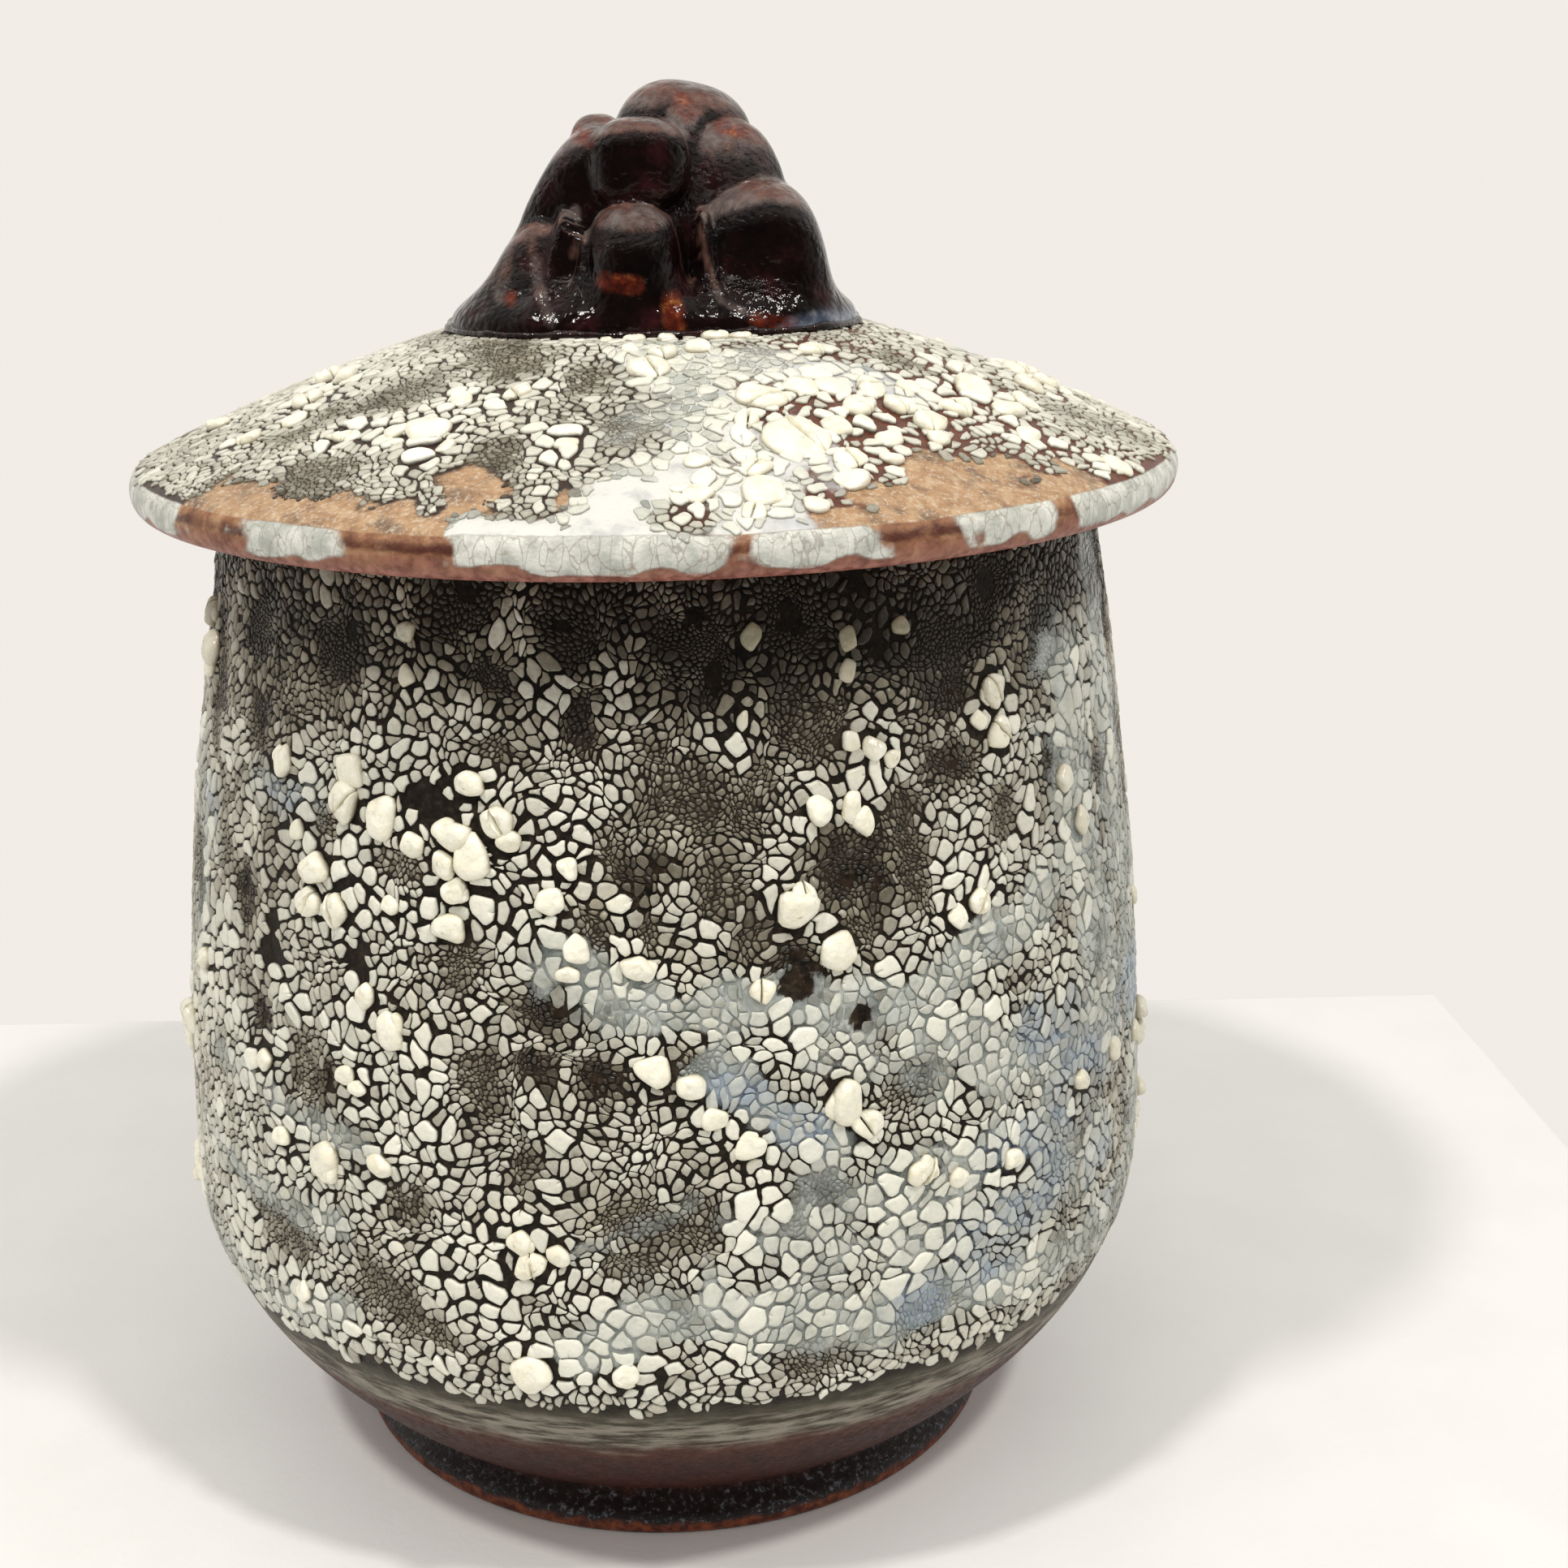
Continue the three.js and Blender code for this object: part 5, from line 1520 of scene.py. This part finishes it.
class JAR_OT_wall(bpy.types.Operator):
    """Adds the jar's wall, floor and inside, with the undercoat that shows between the islands"""

    bl_idname = "crawl_jar.wall"
    bl_label = "Jar Wall"

    def execute(self, context):
        scene = context.scene
        around = scene.jar_sizes.wall_segments
        fields = WallFields(scene.jar_sizes.seed)
        x = (np.arange(around) * GIRTH / around + GIRTH / 2) % GIRTH - GIRTH / 2
        places = np.stack(np.meshgrid(x, np.linspace(0, WALL.s[-1] - WALL_TOP_GAP, WALL_ROWS)), -1)
        outer = on_wall(places[..., 0], places[..., 1], fields.at("ground", places))
        below, inside = ring_points(WALL_BELOW, around), warped(ring_points(WALL_INSIDE, around))
        grid = np.concatenate([below, outer, inside])
        start, end = len(below), len(below) + len(outer)
        marks = np.zeros((len(grid), around, 4))
        marks[..., 0] = 1
        marks[start:end] = fields.undercoat_marks(places, "veil", "cobalt", "blur")
        bands = np.full(len(grid) - 1, BARE)
        bands[start:end] = COAT
        bands[end + BARE_RIM_ROWS :] = LINER
        look_rows = np.concatenate([np.repeat(bands, around), np.full(around, BARE), np.full(around, LINER)])
        looks = [wall_undercoat_look(), bare_clay_look("bare_clay", scene.jar_colours), liner_look()]
        points, faces = skinned(grid)
        piece = new_piece(
            "jar_wall", points, faces, "jar", looks, ring_marks(marks), look_rows=look_rows
        )
        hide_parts("jar_body")
        return {"FINISHED"}


class JAR_OT_wall_glaze(bpy.types.Operator):
    """Adds the islands and the raised beads of the crawled glaze on the wall"""

    bl_idname = "crawl_jar.wall_glaze"
    bl_label = "Wall Glaze"

    def execute(self, context):
        seed = context.scene.jar_sizes.seed
        add_glaze(context.scene, WallFields(seed), on_wall, "jar", "wall", "crawl_glaze", 12, seed + 1)
        return {"FINISHED"}


class JAR_OT_foot(bpy.types.Operator):
    """Adds the turned foot ring"""

    bl_idname = "crawl_jar.foot"
    bl_label = "Foot Ring"

    def execute(self, context):
        grid = ring_points(FOOT_OUTLINE, TURNED_SEGMENTS)
        turn = full_turn(TURNED_SEGMENTS)
        wave = 0.18 * np.sin(7 * turn + 1) + 0.12 * np.sin(13 * turn)
        grid[FOOT_NECK] += turned(turn, wave, 0 * wave)
        points, faces = skinned(grid, joined=True)
        piece = new_piece("foot_ring_turned", points, faces, "jar", [foot_look()])
        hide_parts("foot_ring")
        return {"FINISHED"}


class JAR_OT_lid(bpy.types.Operator):
    """Adds the domed lid with its edge and hollow, and the flange under it"""

    bl_idname = "crawl_jar.lid"
    bl_label = "Lid and Flange"

    def execute(self, context):
        scene, around = context.scene, LID_SEGMENTS
        fields = LidFields(scene.jar_sizes.seed + LID_SEED)
        clay = bare_clay_look("lid_clay", scene.jar_colours)
        edge, dome = np.linspace(LID.s[-1], LID_RIM + 0.4, 18), np.linspace(LID_RIM, 32, 48)
        reach, turn = np.concatenate([edge, dome, [30, 22, 10, 3]])[:, None], full_turn(around)
        x, y = reach * np.sin(turn), -reach * np.cos(turn)
        places = np.stack([x, y], -1)
        under = tilted(ring_points([*LID_HOLLOW, *LID_UNDER], around))
        grid = np.concatenate([under, on_lid(x, y, fields.at("ground", places))])
        marks, edges = np.zeros((2, len(grid), around, 4))
        marks[..., 0] = 1
        marks[len(under) :] = fields.undercoat_marks(places, "veil", "tan", "tint")
        past_dome = smooth((reach - EDGE_LINE + 0.4) / 1.2) + 0 * x
        edge_fields = [fields.at("drip", places), fields.at("right", places), past_dome]
        edges[len(under) :, :, :3] = np.stack(edge_fields, -1)
        bands = np.full(len(grid) - 1, BARE)
        bands[: len(LID_HOLLOW) - 1] = LINER
        bands[len(under) :] = COAT
        look_rows = np.concatenate([np.repeat(bands, around), np.full(around, LINER), np.full(around, COAT)])
        looks = [lid_undercoat_look(), clay, liner_look()]
        points, faces = skinned(grid)
        piece = new_piece(
            "lid_turned", points, faces, "lid", looks, ring_marks(marks), look_rows=look_rows
        )
        add_marks(piece.data, "edge_marks", ring_marks(edges))
        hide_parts("lid")
        points, faces = skinned(tilted(ring_points(FLANGE_OUTLINE, TURNED_SEGMENTS)), joined=True)
        flange = new_piece("lid_flange_turned", points, faces, "lid", [clay])
        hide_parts("lid_flange")
        return {"FINISHED"}


class JAR_OT_lid_glaze(bpy.types.Operator):
    """Adds the islands and beads of the crawled glaze on the lid"""

    bl_idname = "crawl_jar.lid_glaze"
    bl_label = "Lid Glaze"

    def execute(self, context):
        seed = context.scene.jar_sizes.seed + LID_SEED
        add_glaze(context.scene, LidFields(seed), on_lid, "lid", "lid", "lid_crawl_glaze", 3, seed + 1)
        return {"FINISHED"}


class JAR_OT_knob(bpy.types.Operator):
    """Adds the hand-pressed knob"""

    bl_idname = "crawl_jar.knob"
    bl_label = "Knob"

    def execute(self, context):
        grid = knob_rings(KNOB_ROWS, KNOB_SEGMENTS)
        turn = full_turn(KNOB_SEGMENTS)
        marks = ring_marks(knob_marks(grid, turn))
        grid[..., 2] += KNOB_BASE
        points, faces = skinned(tilted(grid))
        piece = new_piece("knob_pressed", points, faces, "lid", [knob_look()], marks)
        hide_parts("lid_knob")
        rng = np.random.default_rng(context.scene.jar_sizes.seed + KNOB_SEED)
        points, faces = skinned(tilted(gloss_roll(grid[0], turn, rng)), joined=True)
        new_piece("knob_glaze_roll", points, faces, "lid", [roll_look()])
        return {"FINISHED"}


OPERATORS = (
    JAR_OT_stage, JAR_OT_wall, JAR_OT_wall_glaze, JAR_OT_foot, JAR_OT_lid, JAR_OT_lid_glaze, JAR_OT_knob,
)


class JAR_PT_panel(bpy.types.Panel):
    """Sizes, colours and build buttons of the crawl glaze jar"""

    bl_label = "Crawl Glaze Jar"
    bl_idname = "JAR_PT_panel"
    bl_space_type = "VIEW_3D"
    bl_region_type = "UI"
    bl_category = "Glaze Jar"

    def draw(self, context):
        for group in (context.scene.jar_sizes, context.scene.jar_colours, context.scene.stage_light):
            box = self.layout.box()
            for name in group.__annotations__:
                box.prop(group, name)
        for operator in OPERATORS:
            self.layout.operator(operator.bl_idname)


CLASSES = (JarSizes, JarColours, StageLight, *OPERATORS, JAR_PT_panel)


def register():
    for cls in CLASSES:
        bpy.utils.register_class(cls)
    bpy.types.Scene.jar_sizes = PointerProperty(type=JarSizes)
    bpy.types.Scene.jar_colours = PointerProperty(type=JarColours)
    bpy.types.Scene.stage_light = PointerProperty(type=StageLight)


def unregister():
    del bpy.types.Scene.stage_light, bpy.types.Scene.jar_colours, bpy.types.Scene.jar_sizes
    for cls in reversed(CLASSES):
        bpy.utils.unregister_class(cls)


def main():
    register()
    for operator in OPERATORS:
        group, name = operator.bl_idname.split(".")
        getattr(getattr(bpy.ops, group), name)()


if __name__ == "__main__":
    main()
